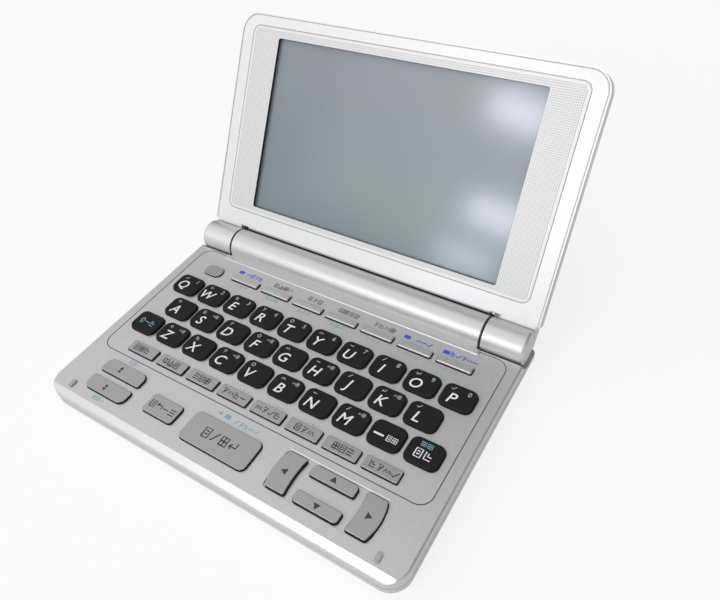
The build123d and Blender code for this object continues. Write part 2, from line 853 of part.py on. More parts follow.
def frame_outline(inset=0.0):
    """The frame seen from the front: lip above the fixed barrel, arms at its sides."""
    half = lid_width / 2 - frame_inset
    face = lid_outline(half, cover_bottom, lid_top - frame_inset,
                       lid_corner_radius - frame_inset)
    face += Pos(0, (lip_bottom + arm_top) / 2) * Rectangle(2 * lip_half, arm_top - lip_bottom)
    arm_width = lid_barrel_end - arm_start
    for side in (-1, 1):
        x = side * (lid_barrel_end - arm_width / 2)
        face += Pos(x, (arm_bottom + arm_top) / 2) * Rectangle(arm_width, arm_top - arm_bottom)
    return face


def display_outline(margin):
    """The screen's opening, widened by a margin."""
    width = 2 * (screen_half_width + margin)
    height = screen_top - screen_bottom + 2 * margin
    middle = (screen_top + screen_bottom) / 2
    return Pos(0, middle) * rounded(width, height, screen_corner)


def surround_outline(margin=0.0):
    middle = (surround_top + surround_bottom) / 2
    width = 2 * (surround_half_width + margin)
    height = surround_top - surround_bottom + 2 * margin
    return Pos(0, middle) * rounded(width, height, surround_corner + margin)


def lid_screw_places():
    return [(side * lid_screw_x, row) for row in lid_screw_rows for side in (-1, 1)]


def lid_cover():
    """The lid's back shell with its arms, barrels, screw bosses and display ribs."""
    cover = lid_shell()
    cover -= prism(frame_outline(), frame_back_z, face_z + barrel_radius)
    room = lid_outline(lid_width / 2 - lid_wall, cover_bottom + lid_wall,
                       lid_top - lid_wall, lid_corner_radius - lid_wall)
    inside_z = cover_back_z + lid_wall
    cover -= prism(room, inside_z, frame_back_z)
    for x, y in lid_screw_places():
        cover += post(lid_boss_radius, x, y, inside_z, frame_back_z)
        cover -= post(screw_shank_radius, x, y, inside_z + inner_clearance, frame_back_z)
    for x in display_ribs:
        cover += block(x - lid_wall / 2, x + lid_wall / 2, screen_bottom + rib_margin,
                       screen_top - rib_margin, inside_z, display_back_z)
    for side in (-1, 1):
        x0, x1 = sorted((side * lid_barrel_start, side * pin_end))
        cover -= rod(pin_radius, x0, x1)
        x0, x1 = sorted((side * pin_end, side * lid_barrel_end))
        cover -= rod(end_room_radius, x0, x1)
        x0, x1 = sorted((side * (lid_barrel_end - end_cap_thickness), side * lid_width))
        cover -= rod(end_cap_radius, x0, x1)
    return cover - ribbon_run(slot_gap)


def ribbon_run(gap):
    """The ribbon from the hinge to where it lies flat in the lid, widened by a gap."""
    half = ribbon_thickness / 2 + gap
    left = -ribbon_x - ribbon_width / 2 - gap
    right = -ribbon_x + ribbon_width / 2 + gap
    run = side_profile([(-half, 0), (half, 0), (ribbon_turn + half, ribbon_z + half),
                        (ribbon_turn - half, ribbon_z - half)], left, right)
    return run + block(left, right, ribbon_turn, ribbon_rise + ribbon_width,
                       ribbon_z - half, ribbon_z + half)


def display_cable():
    """A flat cable, rolled up where it passes through the left hinge pin."""
    left = -ribbon_x - ribbon_width / 2
    low, high = ribbon_z - ribbon_thickness / 2, ribbon_z + ribbon_thickness / 2
    cable = rod(cable_radius, left, -tail_x - ribbon_thickness) + ribbon_run(0)
    cable += block(left, -ribbon_end, ribbon_rise, ribbon_rise + ribbon_width, low, high)
    cable += block(-ribbon_end - ribbon_width, -ribbon_end, ribbon_rise,
                   screen_bottom + ribbon_width, low, high)
    return cable


def lid_frame():
    """The front frame: window for the display, recess for the surround plate."""
    frame = prism(frame_outline(), frame_back_z, face_z)
    rim = frame.faces().sort_by(Axis.Z)[-1].edges()
    frame = fillet(rim, frame_edge_radius)
    frame -= prism(surround_outline(surround_clearance), face_z - surround_thickness, 0)
    frame -= prism(display_outline(screen_margin + inner_clearance), cover_back_z, 0)
    seat = face_z - surround_thickness
    for x, y in lid_screw_places():
        frame -= post(screw_shank_radius, x, y, frame_back_z, seat)
        frame -= post(screw_head_radius + inner_clearance, x, y, seat - screw_head_height, seat)
    return frame


def screen_surround():
    """The plate round the display, flush in the frame."""
    plate = prism(surround_outline(), face_z - surround_thickness, face_z)
    return plate - prism(display_outline(0), face_z - surround_thickness, face_z)


def screen_gasket():
    """A soft ring between the surround plate and the display."""
    ring = display_outline(gasket_reach) - display_outline(gasket_wall)
    return prism(ring, display_face_z, face_z - surround_thickness)


def lcd_panel():
    return prism(display_outline(screen_margin), display_back_z, display_face_z)


def lid_screws():
    """Four screws under the surround plate."""
    seat = face_z - surround_thickness
    screws = []
    for x, y in lid_screw_places():
        screw = post(screw_head_radius, x, y, seat - screw_head_height, seat)
        screw += post(screw_shank_radius, x, y, cover_back_z + lid_wall + 2 * inner_clearance,
                      seat - screw_head_height)
        screw -= post(screw_head_radius / 2, x, y, seat - screw_head_height / 2, seat)
        screws.append(screw)
    return screws


# ---------------------------------------------------------------- the whole object
def base_pieces():
    pieces = {
        "upper_case": upper_case(),
        "lower_case": lower_case(),
        "battery_door": battery_door(),
        "key_mat": key_mat(),
        "circuit_board": circuit_board(),
        "battery_cells": battery_cells(),
        "battery_contacts": battery_contacts(),
        "rubber_feet": rubber_feet(),
        "case_screws": case_screws(),
        "closing_pads": closing_pads(),
        "hinge_clutches": hinge_clutches(),
    }
    pieces.update(single_keys())
    pieces.update(function_strips())
    return pieces


def lid_pieces():
    """The lid's pieces, turned from the flat to the angle at which it stands open."""
    flat = {
        "lid_cover": lid_cover(),
        "lid_frame": lid_frame(),
        "screen_surround": screen_surround(),
        "screen_gasket": screen_gasket(),
        "lcd_panel": lcd_panel(),
        "lid_screws": lid_screws(),
        "hinge_pins": hinge_pins(),
        "hinge_end_caps": hinge_end_caps(),
        "display_cable": display_cable(),
    }
    place = Pos(0, 0, axis_z) * Rot(180 - lid_open, 0, 0)
    return {name: place * as_compound(piece) for name, piece in flat.items()}


def as_compound(piece):
    """One shape for each node, however many solids it holds."""
    solids = piece if isinstance(piece, list) else [piece]
    return Compound([solid for shape in solids for solid in shape.solids()])


pieces = {name: as_compound(piece) for name, piece in base_pieces().items()}
pieces.update(lid_pieces())

# the origin lies on the table, under the middle of the object with its lid open
boxes = [piece.bounding_box() for piece in pieces.values()]
middle_y = (min(box.min.Y for box in boxes) + max(box.max.Y for box in boxes)) / 2
os.makedirs("parts", exist_ok=True)
for name, piece in pieces.items():
    export_step(Pos(0, -middle_y, 0) * piece, f"parts/{name}.step")
print(f"{len(pieces)} pieces, hinge axis at y = {-middle_y:.4f}, z = {axis_z:.4f}")
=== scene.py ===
import json
import math

import bmesh
import bpy
import numpy as np
from bpy.props import FloatProperty, FloatVectorProperty, PointerProperty
from bpy.types import Operator, Panel, PropertyGroup
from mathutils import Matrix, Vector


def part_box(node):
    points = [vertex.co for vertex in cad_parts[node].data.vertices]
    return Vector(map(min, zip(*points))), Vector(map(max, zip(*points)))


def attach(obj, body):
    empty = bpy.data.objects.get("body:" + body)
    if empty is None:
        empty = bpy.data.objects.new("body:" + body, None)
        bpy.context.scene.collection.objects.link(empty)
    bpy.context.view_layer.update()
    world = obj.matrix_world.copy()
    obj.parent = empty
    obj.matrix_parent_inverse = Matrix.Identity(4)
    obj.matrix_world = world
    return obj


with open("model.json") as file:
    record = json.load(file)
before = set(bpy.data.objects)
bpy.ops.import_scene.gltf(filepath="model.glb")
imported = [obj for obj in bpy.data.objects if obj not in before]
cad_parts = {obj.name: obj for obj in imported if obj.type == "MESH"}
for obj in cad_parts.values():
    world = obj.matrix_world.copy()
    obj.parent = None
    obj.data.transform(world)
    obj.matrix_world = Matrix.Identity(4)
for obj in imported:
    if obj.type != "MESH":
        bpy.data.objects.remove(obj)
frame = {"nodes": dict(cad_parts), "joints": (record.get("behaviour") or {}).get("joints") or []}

bl_info = {
    "name": "Pocket Dictionary Finish",
    "version": (1, 0, 0),
    "blender": (4, 5, 0),
    "location": "3D View > Sidebar > Dictionary",
    "description": "Paint, keys, printed marks and studio for a clamshell electronic dictionary",
    "category": "Object",
}

# ---------------------------------------------------------------- places taken from the frame
MM = 0.001
HINGE = next(j for j in frame["joints"] if j["name"] == "lid_hinge")
HINGE_PLACE = np.array(HINGE["pos_m"])
LID_OPEN = math.radians(HINGE["range_deg"][1])
LID_TURN = math.pi - LID_OPEN
PANEL_UNDER_AXIS = 1.2 * MM
PANEL_Z = HINGE_PLACE[2] - PANEL_UNDER_AXIS
CASE_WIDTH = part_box("upper_case")[1].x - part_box("upper_case")[0].x
LETTERS = "qwertyuiopasdfghjklzxcvbnm"
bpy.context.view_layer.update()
CAPITAL_SHARE = 0.72             # a capital's height as a share of the font's size
PLATE_CORNER = 3.2 * MM          # corner radius of the plate round the screen
GROOVE_BOX = (-68.2 * MM, 68.2 * MM, HINGE_PLACE[1] - 67.5 * MM, HINGE_PLACE[1] - 7.8 * MM)
GROOVE_CORNER = 4.5 * MM
BARREL_RADIUS = 6.4 * MM
SEAT_RADIUS = 7.15 * MM          # round the barrels: where the case falls away to their seat
FIXED_BARREL_END = 55.6 * MM
NOTCH_START, NOTCH_END, NOTCH_TOP = 54.6 * MM, 58.1 * MM, 7.45 * MM
LIP_BOTTOM, LIP_SHADOW, LIP_TOP = 6.6 * MM, 6.65 * MM, 7.5 * MM
# painted shade: a dark strip that fills the gap under the lid's lip, where there is only shadow
SHADE_STRIP_ARC, SHADE_STRIP_GAP, SHADE_STRIP_HALF = (17.0, 30.0), 0.08 * MM, 57.8 * MM


def on_panel(x, y, z=0.0):
    """A place on the keyboard panel in metres: x from the middle, y from the hinge axis, z above it, all in mm."""
    return np.array([x * MM, HINGE_PLACE[1] + y * MM, PANEL_Z + z * MM])


def lid_axes():
    """The lid's own axes in the frame: across, up along the lid, and out of the screen."""
    up = np.array([0.0, -math.cos(LID_OPEN), math.sin(LID_OPEN)])
    out = np.array([0.0, -math.sin(LID_OPEN), -math.cos(LID_OPEN)])
    return np.array([[1.0, 0.0, 0.0], up, out])


def on_lid(points):
    """Points given across the lid, up from the axis and out of the screen, turned into the frame."""
    return HINGE_PLACE + points @ lid_axes()


def key_top(node):
    """The middle of a key's top, in metres."""
    low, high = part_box(node)
    return np.array([(low.x + high.x) / 2, (low.y + high.y) / 2, high.z])


def plate_box(node):
    """A flat piece of the lid as it lies in the lid's plane: its limits across and up, in metres."""
    mesh = frame["nodes"][node].data
    points = np.zeros(len(mesh.vertices) * 3)
    mesh.vertices.foreach_get("co", points)
    flat = (points.reshape(-1, 3) - HINGE_PLACE) @ lid_axes().T
    return flat[:, 0].min(), flat[:, 0].max(), flat[:, 1].min(), flat[:, 1].max()


# ---------------------------------------------------------------- sizes and colours a user may change
def colour(name, description, default):
    return FloatVectorProperty(name=name, description=description, default=default, size=3,
                               min=0.0, max=1.0, subtype="COLOR")


def length(name, description, default):
    return FloatProperty(name=name, description=description, default=default, min=0.0,
                         unit="LENGTH", subtype="DISTANCE", precision=5)


class PaintSettings(PropertyGroup):
    """Colours and grain of the moulded and painted surfaces."""
    case_silver: colour("Case", "Silver paint of the base", (0.58, 0.58, 0.578))
    cover_silver: colour("Lid cover", "Silver paint of the lid's back and barrels", (0.60, 0.60, 0.603))
    frame_pearl: colour("Lid frame", "Pale pearl paint round the screen", (0.715, 0.715, 0.715))
    surround_pearl: colour("Screen surround", "Dotted plate next to the screen", (0.66, 0.66, 0.655))
    display_grey: colour("Display", "The unlit liquid-crystal display", (0.172, 0.222, 0.252))
    key_black: colour("Letter keys", "Matt black letter keys", (0.014, 0.014, 0.015))
    key_silver: colour("Function keys", "Satin grey tops of the other keys", (0.37, 0.37, 0.366))
    # painted shade: the sides of the satin grey keys are painted dark
    key_side: colour("Key sides", "Dark sides of the satin grey keys", (0.03, 0.03, 0.03))
    flake_size: length("Flake size", "Grain of the silver paint", 0.00022)
    dot_pitch: length("Dot pitch", "Spacing of the dots on the screen surround", 0.00075)
    border_width: length("Plain border", "Smooth border round the dotted field", 0.0013)


class PrintSettings(PropertyGroup):
    """Colours and sizes of what is printed on the keys and the case."""
    legend_white: colour("Legends", "White letters on the black keys", (0.86, 0.87, 0.88))
    blue_ink: colour("Blue print", "Blue marks over the first row of keys", (0.05, 0.09, 0.60))
    teal_ink: colour("Teal print", "Second functions", (0.20, 0.42, 0.50))
    grey_ink: colour("Grey print", "Grey marks on the panel", (0.12, 0.12, 0.125))
    black_ink: colour("Black print", "Marks on the satin grey keys", (0.035, 0.035, 0.037))
    letter_height: length("Letter height", "Height of a capital on a letter key", 0.0041)
    ink_thickness: length("Ink thickness", "Height of the print above its ground", 0.00002)


class StudioSettings(PropertyGroup):
    """The floor, the lamps and the camera."""
    floor_white: colour("Floor", "Pale floor", (0.92, 0.92, 0.92))
    sky_level: FloatProperty(name="Sky", description="Light from all round", default=1.0, min=0.0)
    front_level: FloatProperty(name="Front lamp", description="Power of the wide lamp in front",
                               default=1.0, min=0.0, unit="POWER")
    left_level: FloatProperty(name="Left lamp", description="Power of the lamp on the left",
                              default=0.48, min=0.0, unit="POWER")
    top_level: FloatProperty(name="Top lamp", description="Power of the lamp above", default=1.2,
                             min=0.0, unit="POWER")
    glint_level: FloatProperty(name="Screen glints", default=0.62, min=0.0, unit="POWER",
                               description="Power of the small lamps that the display mirrors")
    lens: FloatProperty(name="Lens", description="Focal length on a 36 mm sensor", default=32.3355,
                        min=1.0, unit="CAMERA")


# ---------------------------------------------------------------- small tools for meshes
def piece(name, points, faces, finish, body):
    """Makes a mesh piece from points and faces, gives it its finish and lets it ride on a body."""
    mesh = bpy.data.meshes.new(name)
    mesh.from_pydata(np.asarray(points).tolist(), [], [list(f) for f in faces])
    mesh.validate()
    mesh.update()
    mesh.materials.append(finish)
    made = bpy.data.objects.new(name, mesh)
    bpy.context.scene.collection.objects.link(made)
    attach(made, body)
    return made


def ribbon(path, width, thickness, closed=False):
    """A flat bar along a path in a plane: each point of the path is moved half a width to both
    sides along the path's normal, at the bottom and at the top, and neighbours are joined."""
    path = np.asarray(path, float)
    if closed:
        along = np.roll(path, -1, 0) - np.roll(path, 1, 0)
    else:
        along = np.gradient(path, axis=0)
    along /= np.linalg.norm(along, axis=1)[:, None]
    side = np.stack([-along[:, 1], along[:, 0]], 1) * width / 2
    count = len(path)
    low, high = np.zeros((count, 1)), np.full((count, 1), thickness)
    left, right = path + side, path - side
    points = np.concatenate([np.hstack([left, low]), np.hstack([right, low]),
                             np.hstack([right, high]), np.hstack([left, high])])
    steps = count if closed else count - 1
    first = np.arange(steps)
    after = (first + 1) % count
    faces = []
    for a, b in ((0, 1), (1, 2), (2, 3), (3, 0)):
        faces.append(np.stack([a * count + first, a * count + after,
                               b * count + after, b * count + first], 1))
    faces = np.concatenate(faces)[:, ::-1]
    if not closed:
        ring = np.arange(4) * count
        faces = np.concatenate([faces, [ring[::-1]], [ring + count - 1]])
    return points, faces


def slab(outline, thickness):
    """A flat plate with the given outline, counter-clockwise, as a closed form."""
    outline = np.asarray(outline, float)
    count = len(outline)
    points = np.concatenate([np.hstack([outline, np.zeros((count, 1))]),
                             np.hstack([outline, np.full((count, 1), thickness)])])
    first = np.arange(count)
    after = (first + 1) % count
    sides = np.stack([first, after, after + count, first + count], 1)
    return points, [first[::-1].tolist(), (first + count).tolist(), *sides.tolist()]


def joined(forms):
    """Several point and face lists as one."""
    points, faces, start = [], [], 0
    for more, sides in forms:
        points.append(more)
        faces += [[int(i) + start for i in face] for face in sides]
        start += len(more)
    return np.concatenate(points), faces


def arc(centre, radius, start, end, count=24):
    """Points on a circle between two angles in degrees."""
    turn = np.radians(np.linspace(start, end, count))
    return np.stack([centre[0] + radius * np.cos(turn), centre[1] + radius * np.sin(turn)], 1)


# ---------------------------------------------------------------- finishes
class Finish:
    """A material in the making: adds nodes, links them, and sets the shader's own sockets."""

    def __init__(self, name):
        self.material = bpy.data.materials.new(name)
        self.material.use_nodes = True
        self.tree = self.material.node_tree
        self.shader = self.tree.nodes["Principled BSDF"]
        self.place = self.tree.nodes.new("ShaderNodeTexCoord")

    def node(self, kind, inputs=(), **settings):
        made = self.tree.nodes.new(kind)
        for key, value in settings.items():
            setattr(made, key, value)
        for socket, value in dict(inputs).items():
            self.feed(made, socket, value)
        return made

    def feed(self, node, socket, value):
        """Sets a socket to a number, or links another node's socket to it."""
        if isinstance(value, bpy.types.NodeSocket):
            self.tree.links.new(value, node.inputs[socket])
        else:
            node.inputs[socket].default_value = value

    def surface(self, **values):
        for socket, value in values.items():
            self.feed(self.shader, socket.replace("_", " "), value)

    def math(self, operation, a, b=0.0, c=0.0):
        return self.node("ShaderNodeMath", {0: a, 1: b, 2: c}, operation=operation).outputs[0]

    def noise(self, size, detail=2.0, place=None, roughness=0.5):
        """Noise whose grains are about size metres."""
        return self.node("ShaderNodeTexNoise", {
            "Vector": place or self.place.outputs["Object"], "Scale": 1.0 / size,
            "Detail": detail, "Roughness": roughness}).outputs["Fac"]

    def spread(self, value, low, high, start=0.3, end=0.7):
        """Stretches a value between two limits."""
        return self.node("ShaderNodeMapRange", {
            "Value": value, "From Min": start, "From Max": end,
            "To Min": low, "To Max": high}).outputs["Result"]

    def mixed(self, factor, first, second, blend="MIX"):
        made = self.tree.nodes.new("ShaderNodeMix")
        made.data_type = "RGBA"
        made.blend_type = blend
        self.feed(made, 0, factor)
        for socket, value in ((6, first), (7, second)):
            if not isinstance(value, bpy.types.NodeSocket):
                value = (*value, 1.0)
            self.feed(made, socket, value)
        return made.outputs[2]

    def bump(self, height, distance, strength=1.0):
        return self.node("ShaderNodeBump", {"Height": height, "Distance": distance,
                                            "Strength": strength}).outputs["Normal"]

    def on_lid(self):
        """Object coordinates turned into the lid's plane: across, up and out."""
        turned = self.node("ShaderNodeMapping", {
            "Vector": self.place.outputs["Object"], "Location": tuple(HINGE_PLACE),
            "Rotation": (LID_TURN, 0.0, 0.0)}, vector_type="TEXTURE")
        return turned.outputs["Vector"]

    def facing_out(self):
        """1 on faces that look out of the screen side of the lid, 0 on walls across it."""
        out = self.node("ShaderNodeVectorMath", {0: self.place.outputs["Normal"],
                                                 1: tuple(lid_axes()[2])}, operation="DOT_PRODUCT")
        return self.spread(out.outputs["Value"], 0.0, 1.0, 0.3, 0.6)

    def rounded_distance(self, across, up, box, corner):
        """Distance to the edge of a rectangle with round corners, negative inside: how far a point is
        beyond the rectangle drawn in by the corner radius, less that radius."""
        x0, x1, y0, y1 = box
        beside = self.math("SUBTRACT", self.math("ABSOLUTE", self.math("SUBTRACT", across, (x0 + x1) / 2)),
                           (x1 - x0) / 2 - corner)
        above = self.math("SUBTRACT", self.math("ABSOLUTE", self.math("SUBTRACT", up, (y0 + y1) / 2)),
                          (y1 - y0) / 2 - corner)
        inner = self.math("MINIMUM", self.math("MAXIMUM", beside, above), 0.0)
        outer = self.math("SQRT", self.math("ADD", self.square(self.math("MAXIMUM", beside, 0.0)),
                                            self.square(self.math("MAXIMUM", above, 0.0))))
        return self.math("SUBTRACT", self.math("ADD", inner, outer), corner)

    def square(self, value):
        return self.math("MULTIPLY", value, value)

    def parts_of(self, vector):
        return self.node("ShaderNodeSeparateXYZ", {0: vector}).outputs


def toned(tint, level):
    return tuple(min(1.0, channel * level) for channel in tint)


def panel_painted_shade(finish):
    """Painted shade: 1 in the gaps round the keys and along the barrels' seat, a part of 1 in the fine
    line round the keyboard, and 0 elsewhere."""
    across, back, height = finish.parts_of(finish.place.outputs["Object"])
    edge = finish.rounded_distance(across, back, GROOVE_BOX, GROOVE_CORNER)
    # painted shade in the fine groove round the keyboard, at three quarters strength
    line = finish.math("MULTIPLY", finish.math("COMPARE", edge, 0.0, 0.30 * MM), 0.75)
    depth = finish.math("SUBTRACT", PANEL_Z, height)
    line = finish.math("MULTIPLY", line, finish.math("COMPARE", depth, 0.22 * MM, 0.16 * MM))
    inside = finish.math("LESS_THAN", finish.math("ABSOLUTE", across), CASE_WIDTH / 2 - 3.0 * MM)
    inside = finish.math("MULTIPLY", inside, finish.math("LESS_THAN", back, GROOVE_BOX[3]))
    inside = finish.math("MULTIPLY", inside,
                         finish.math("GREATER_THAN", back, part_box("upper_case")[0].y + 4.0 * MM))
    # painted shade in the gaps round the keys, below the panel
    gaps = finish.math("MULTIPLY", inside, finish.math("GREATER_THAN", depth, 0.6 * MM))
    # painted shade along the barrels' seat and at the fixed barrel's ends
    beside = finish.math("ABSOLUTE", across)
    front = finish.math("LESS_THAN", back, HINGE_PLACE[1] - 5.5 * MM)
    ring = finish.math("LESS_THAN", beside, FIXED_BARREL_END + 0.6 * MM)
    seat = finish.math("MULTIPLY", finish.math("GREATER_THAN", beside, FIXED_BARREL_END - 0.15 * MM),
                       finish.math("MAXIMUM", front, ring))
    seat = finish.math("MULTIPLY", seat, finish.math("LESS_THAN", axis_distance(finish, back, height),
                                                     SEAT_RADIUS))
    return finish.math("MAXIMUM", finish.math("MAXIMUM", line, gaps), seat)


def axis_distance(finish, back, height):
    """Distance of a point from the hinge axis."""
    return finish.math("SQRT", finish.math("ADD", finish.square(finish.math("SUBTRACT", back, HINGE_PLACE[1])),
                                           finish.square(finish.math("SUBTRACT", height, HINGE_PLACE[2]))))


def dish_edge_highlight(finish):
    """1 on the edge above the arrow keys' dish, where a highlight is painted, and 0 elsewhere."""
    across, back, _ = finish.parts_of(finish.place.outputs["Object"])
    edge = finish.math("COMPARE", back, HINGE_PLACE[1] - 70.0 * MM, 0.20 * MM)
    return finish.math("MULTIPLY", edge, finish.math("COMPARE", across, 39.9 * MM, 17.9 * MM))


def lid_foot(finish):
    """Painted shade: 1 where the lid's foot lies in shadow, a part of 1 where it turns away from the light,
    and 0 elsewhere: its lip over the fixed barrel, the surfaces that look down at the barrel, the notches
    at the lip's ends and a ring on the lid's barrels where they meet the fixed barrel. The painted shadow
    in the left notch, where the cable goes through, is the darkest."""
    across, up, out = finish.parts_of(finish.on_lid())
    beside = finish.math("ABSOLUTE", across)
    down = finish.node("ShaderNodeVectorMath", {0: finish.place.outputs["Normal"],
                                                1: tuple(-lid_axes()[1])}, operation="DOT_PRODUCT")
    under = finish.spread(down.outputs["Value"], 0.0, 1.0, 0.4, 0.7)
    under = finish.math("MULTIPLY", under, finish.math("COMPARE", up, 6.8 * MM, 1.3 * MM))
    lip = finish.math("MAXIMUM", finish.math("MULTIPLY", finish.math("LESS_THAN", up, LIP_TOP), 0.48),
                      finish.spread(up, 1.0, 0.0, LIP_SHADOW - 0.1 * MM, LIP_SHADOW + 0.1 * MM))
    shaded = finish.math("MULTIPLY", finish.math("MAXIMUM", under, lip),
                         finish.math("LESS_THAN", beside, NOTCH_START + 0.1 * MM))
    # painted shadow in the notches at the lip's ends, darkest on the left
    notch = finish.math("MULTIPLY", finish.math("COMPARE", beside, (NOTCH_START + NOTCH_END) / 2,
                                                (NOTCH_END - NOTCH_START) / 2 + 0.1 * MM),
                        finish.math("LESS_THAN", up, NOTCH_TOP))
    notch = finish.math("MULTIPLY", notch, finish.spread(across, 1.0, 0.8, -1 * MM, 1 * MM))
    outside = finish.math("SQRT", finish.math("ADD", finish.square(up), finish.square(out)))
    shaded = finish.math("MULTIPLY", finish.math("MAXIMUM", shaded, notch),
                         finish.math("GREATER_THAN", outside, BARREL_RADIUS + 0.05 * MM))
    # painted shade: a ring on the lid's barrels where they meet the fixed barrel
    ring = finish.math("LESS_THAN", beside, FIXED_BARREL_END + 0.5 * MM)
    ring = finish.math("MULTIPLY", ring, finish.math("LESS_THAN", outside, BARREL_RADIUS + 0.05 * MM))
    return finish.math("MULTIPLY", finish.math("MAXIMUM", shaded, ring),
                       finish.math("GREATER_THAN", out, -6.0 * MM))


def silver_paint(name, tint, flake, metallic=0.65, roughness=0.38, coat=0.0, sparkle=0.10, painted_shade_mask=None,
                 painted_highlight_mask=None):
    """Silver paint: fine flakes lighten and darken it, tilt the surface and change its gloss a little,
    over a slow cloudiness such as spraying leaves. The first of its two mask functions says where shade
    is painted in, much darker, and the second where a highlight is painted along an edge."""
    finish = Finish(name)
    flakes = finish.noise(flake, 1.0)
    clouds = finish.noise(0.018, 3.0)
    tone = finish.mixed(finish.spread(flakes, 0.0, 1.0), toned(tint, 1.0 - sparkle), toned(tint, 1.0 + sparkle))
    tone = finish.mixed(finish.spread(clouds, 0.0, 0.10), tone, toned(tint, 0.92))
    # painted highlight: a lighter tone along an edge
    if painted_highlight_mask:
        tone = finish.mixed(painted_highlight_mask(finish), tone, toned(tint, 1.6))
    # painted shade: a much darker tone where shadow falls
    if painted_shade_mask:
        tone = finish.mixed(painted_shade_mask(finish), tone, toned(tint, 0.10))
    finish.surface(Base_Color=tone, Metallic=metallic,
                   Roughness=finish.spread(flakes, roughness - 0.04, roughness + 0.05),
                   Coat_Weight=coat, Coat_Roughness=0.18,
                   Normal=finish.bump(flakes, 0.00006 * sparkle, 0.5))
    return finish.material


def dotted_pearl(paint):
    """The plate round the screen: pale paint with a staggered grid of small round dimples inside a plain
    border. A dot stands where the product of two cosines, taken across and up the lid, is near its peak.
    The border follows the signed distance to a rectangle with round corners. The walls of the window,
    which face along the lid, are black."""
    finish = Finish("surround_dotted_pearl")
    across, up, _ = finish.parts_of(finish.on_lid())
    turns = math.pi / paint.dot_pitch
    waves = finish.math("MULTIPLY", finish.math("COSINE", finish.math("MULTIPLY", across, turns)),
                        finish.math("COSINE", finish.math("MULTIPLY", up, turns)))
    dots = finish.spread(finish.math("ABSOLUTE", waves), 0.0, 1.0, 0.62, 0.80)
    depth = finish.rounded_distance(across, up, plate_box("screen_surround"), PLATE_CORNER)
    field = finish.spread(depth, 1.0, 0.0, -paint.border_width - 0.05 * MM, -paint.border_width)
    # painted shade: a dark line where the dotted field meets the plain border, standing for a fine groove, and a
    # dark band along the plate's outer edge where it meets the frame
    line = finish.math("COMPARE", depth, -paint.border_width, 0.10 * MM)
    rim = finish.spread(depth, 0.0, 1.0, -0.28 * MM, -0.16 * MM)
    line = finish.math("MAXIMUM", finish.math("MULTIPLY", line, 0.8), rim)
    dots = finish.math("MULTIPLY", dots, field)
    grain = finish.noise(paint.flake_size)
    tint = tuple(paint.surround_pearl)
    tone = finish.mixed(finish.spread(grain, 0.0, 1.0), toned(tint, 0.95), toned(tint, 1.05))
    tone = finish.mixed(finish.math("MULTIPLY", finish.math("SUBTRACT", 1.0, field), 0.6), tone,
                        toned(tint, 1.07))
    tone = finish.mixed(finish.math("MULTIPLY", dots, 0.75), tone, toned(tint, 0.42))
    tone = finish.mixed(finish.math("MULTIPLY", line, 0.55), tone, toned(tint, 0.45))
    tone = finish.mixed(finish.facing_out(), (0.008, 0.008, 0.009), tone)
    height = finish.math("MULTIPLY_ADD", grain, 0.05, finish.math("SUBTRACT", 1.0, dots))
    finish.surface(Base_Color=tone, Metallic=0.15, Roughness=finish.spread(grain, 0.34, 0.42),
                   Normal=finish.bump(height, 0.00005, 0.5))
    return finish.material


def display_surface(paint):
    """Unlit liquid-crystal display: a grey-blue ground with a faint square pixel grid and slow clouds,
    under smooth glass. Painted shade darkens it towards the left and a painted reflection makes it paler
    and bluer towards the top."""
    finish = Finish("display_unlit")
    across, up, _ = finish.parts_of(finish.on_lid())
    turns = 2 * math.pi / (0.225 * MM)
    grid = finish.math("MAXIMUM", finish.math("COSINE", finish.math("MULTIPLY", across, turns)),
                       finish.math("COSINE", finish.math("MULTIPLY", up, turns)))
    lines = finish.spread(grid, 0.0, 1.0, 0.75, 1.0)
    clouds = finish.noise(0.06, 2.0)
    tint = tuple(paint.display_grey)
    tone = finish.mixed(finish.spread(clouds, 0.0, 1.0), toned(tint, 0.96), toned(tint, 1.06))
    # painted shade: darker towards the left
    tone = finish.mixed(finish.spread(across, 0.28, 0.0, -54 * MM, 20 * MM), tone, toned(tint, 0.5))
    # painted reflection: paler and bluer towards the top
    tone = finish.mixed(finish.spread(up, 0.0, 0.5, 20 * MM, 80 * MM), tone, (0.225, 0.245, 0.285))
    tone = finish.mixed(finish.spread(clouds, 0.0, 0.25, 0.45, 0.65), tone, (0.20, 0.25, 0.25))
    tone = finish.mixed(finish.math("MULTIPLY", lines, 0.10), tone, toned(tint, 0.6))
    finish.surface(Base_Color=tone, Roughness=0.45, Coat_Weight=1.0, Coat_Roughness=0.13,
                   Specular_IOR_Level=0.3)
    return finish.material


def black_keycap(paint):
    """Matt black caps: a fine eroded grain in colour, height and gloss, with edges worn a little
    smoother."""
    finish = Finish("keycap_matt_black")
    grain = finish.noise(0.00016, 3.0)
    wear = finish.noise(0.004, 3.0)
    tint = tuple(paint.key_black)
    tone = finish.mixed(finish.spread(grain, 0.0, 1.0), toned(tint, 0.7), toned(tint, 1.5))
    gloss = finish.math("SUBTRACT", finish.spread(grain, 0.54, 0.66), finish.spread(wear, 0.0, 0.10))
    finish.surface(Base_Color=tone, Roughness=gloss, Specular_IOR_Level=0.12,
                   Normal=finish.bump(grain, 0.000012, 0.6))
    return finish.material


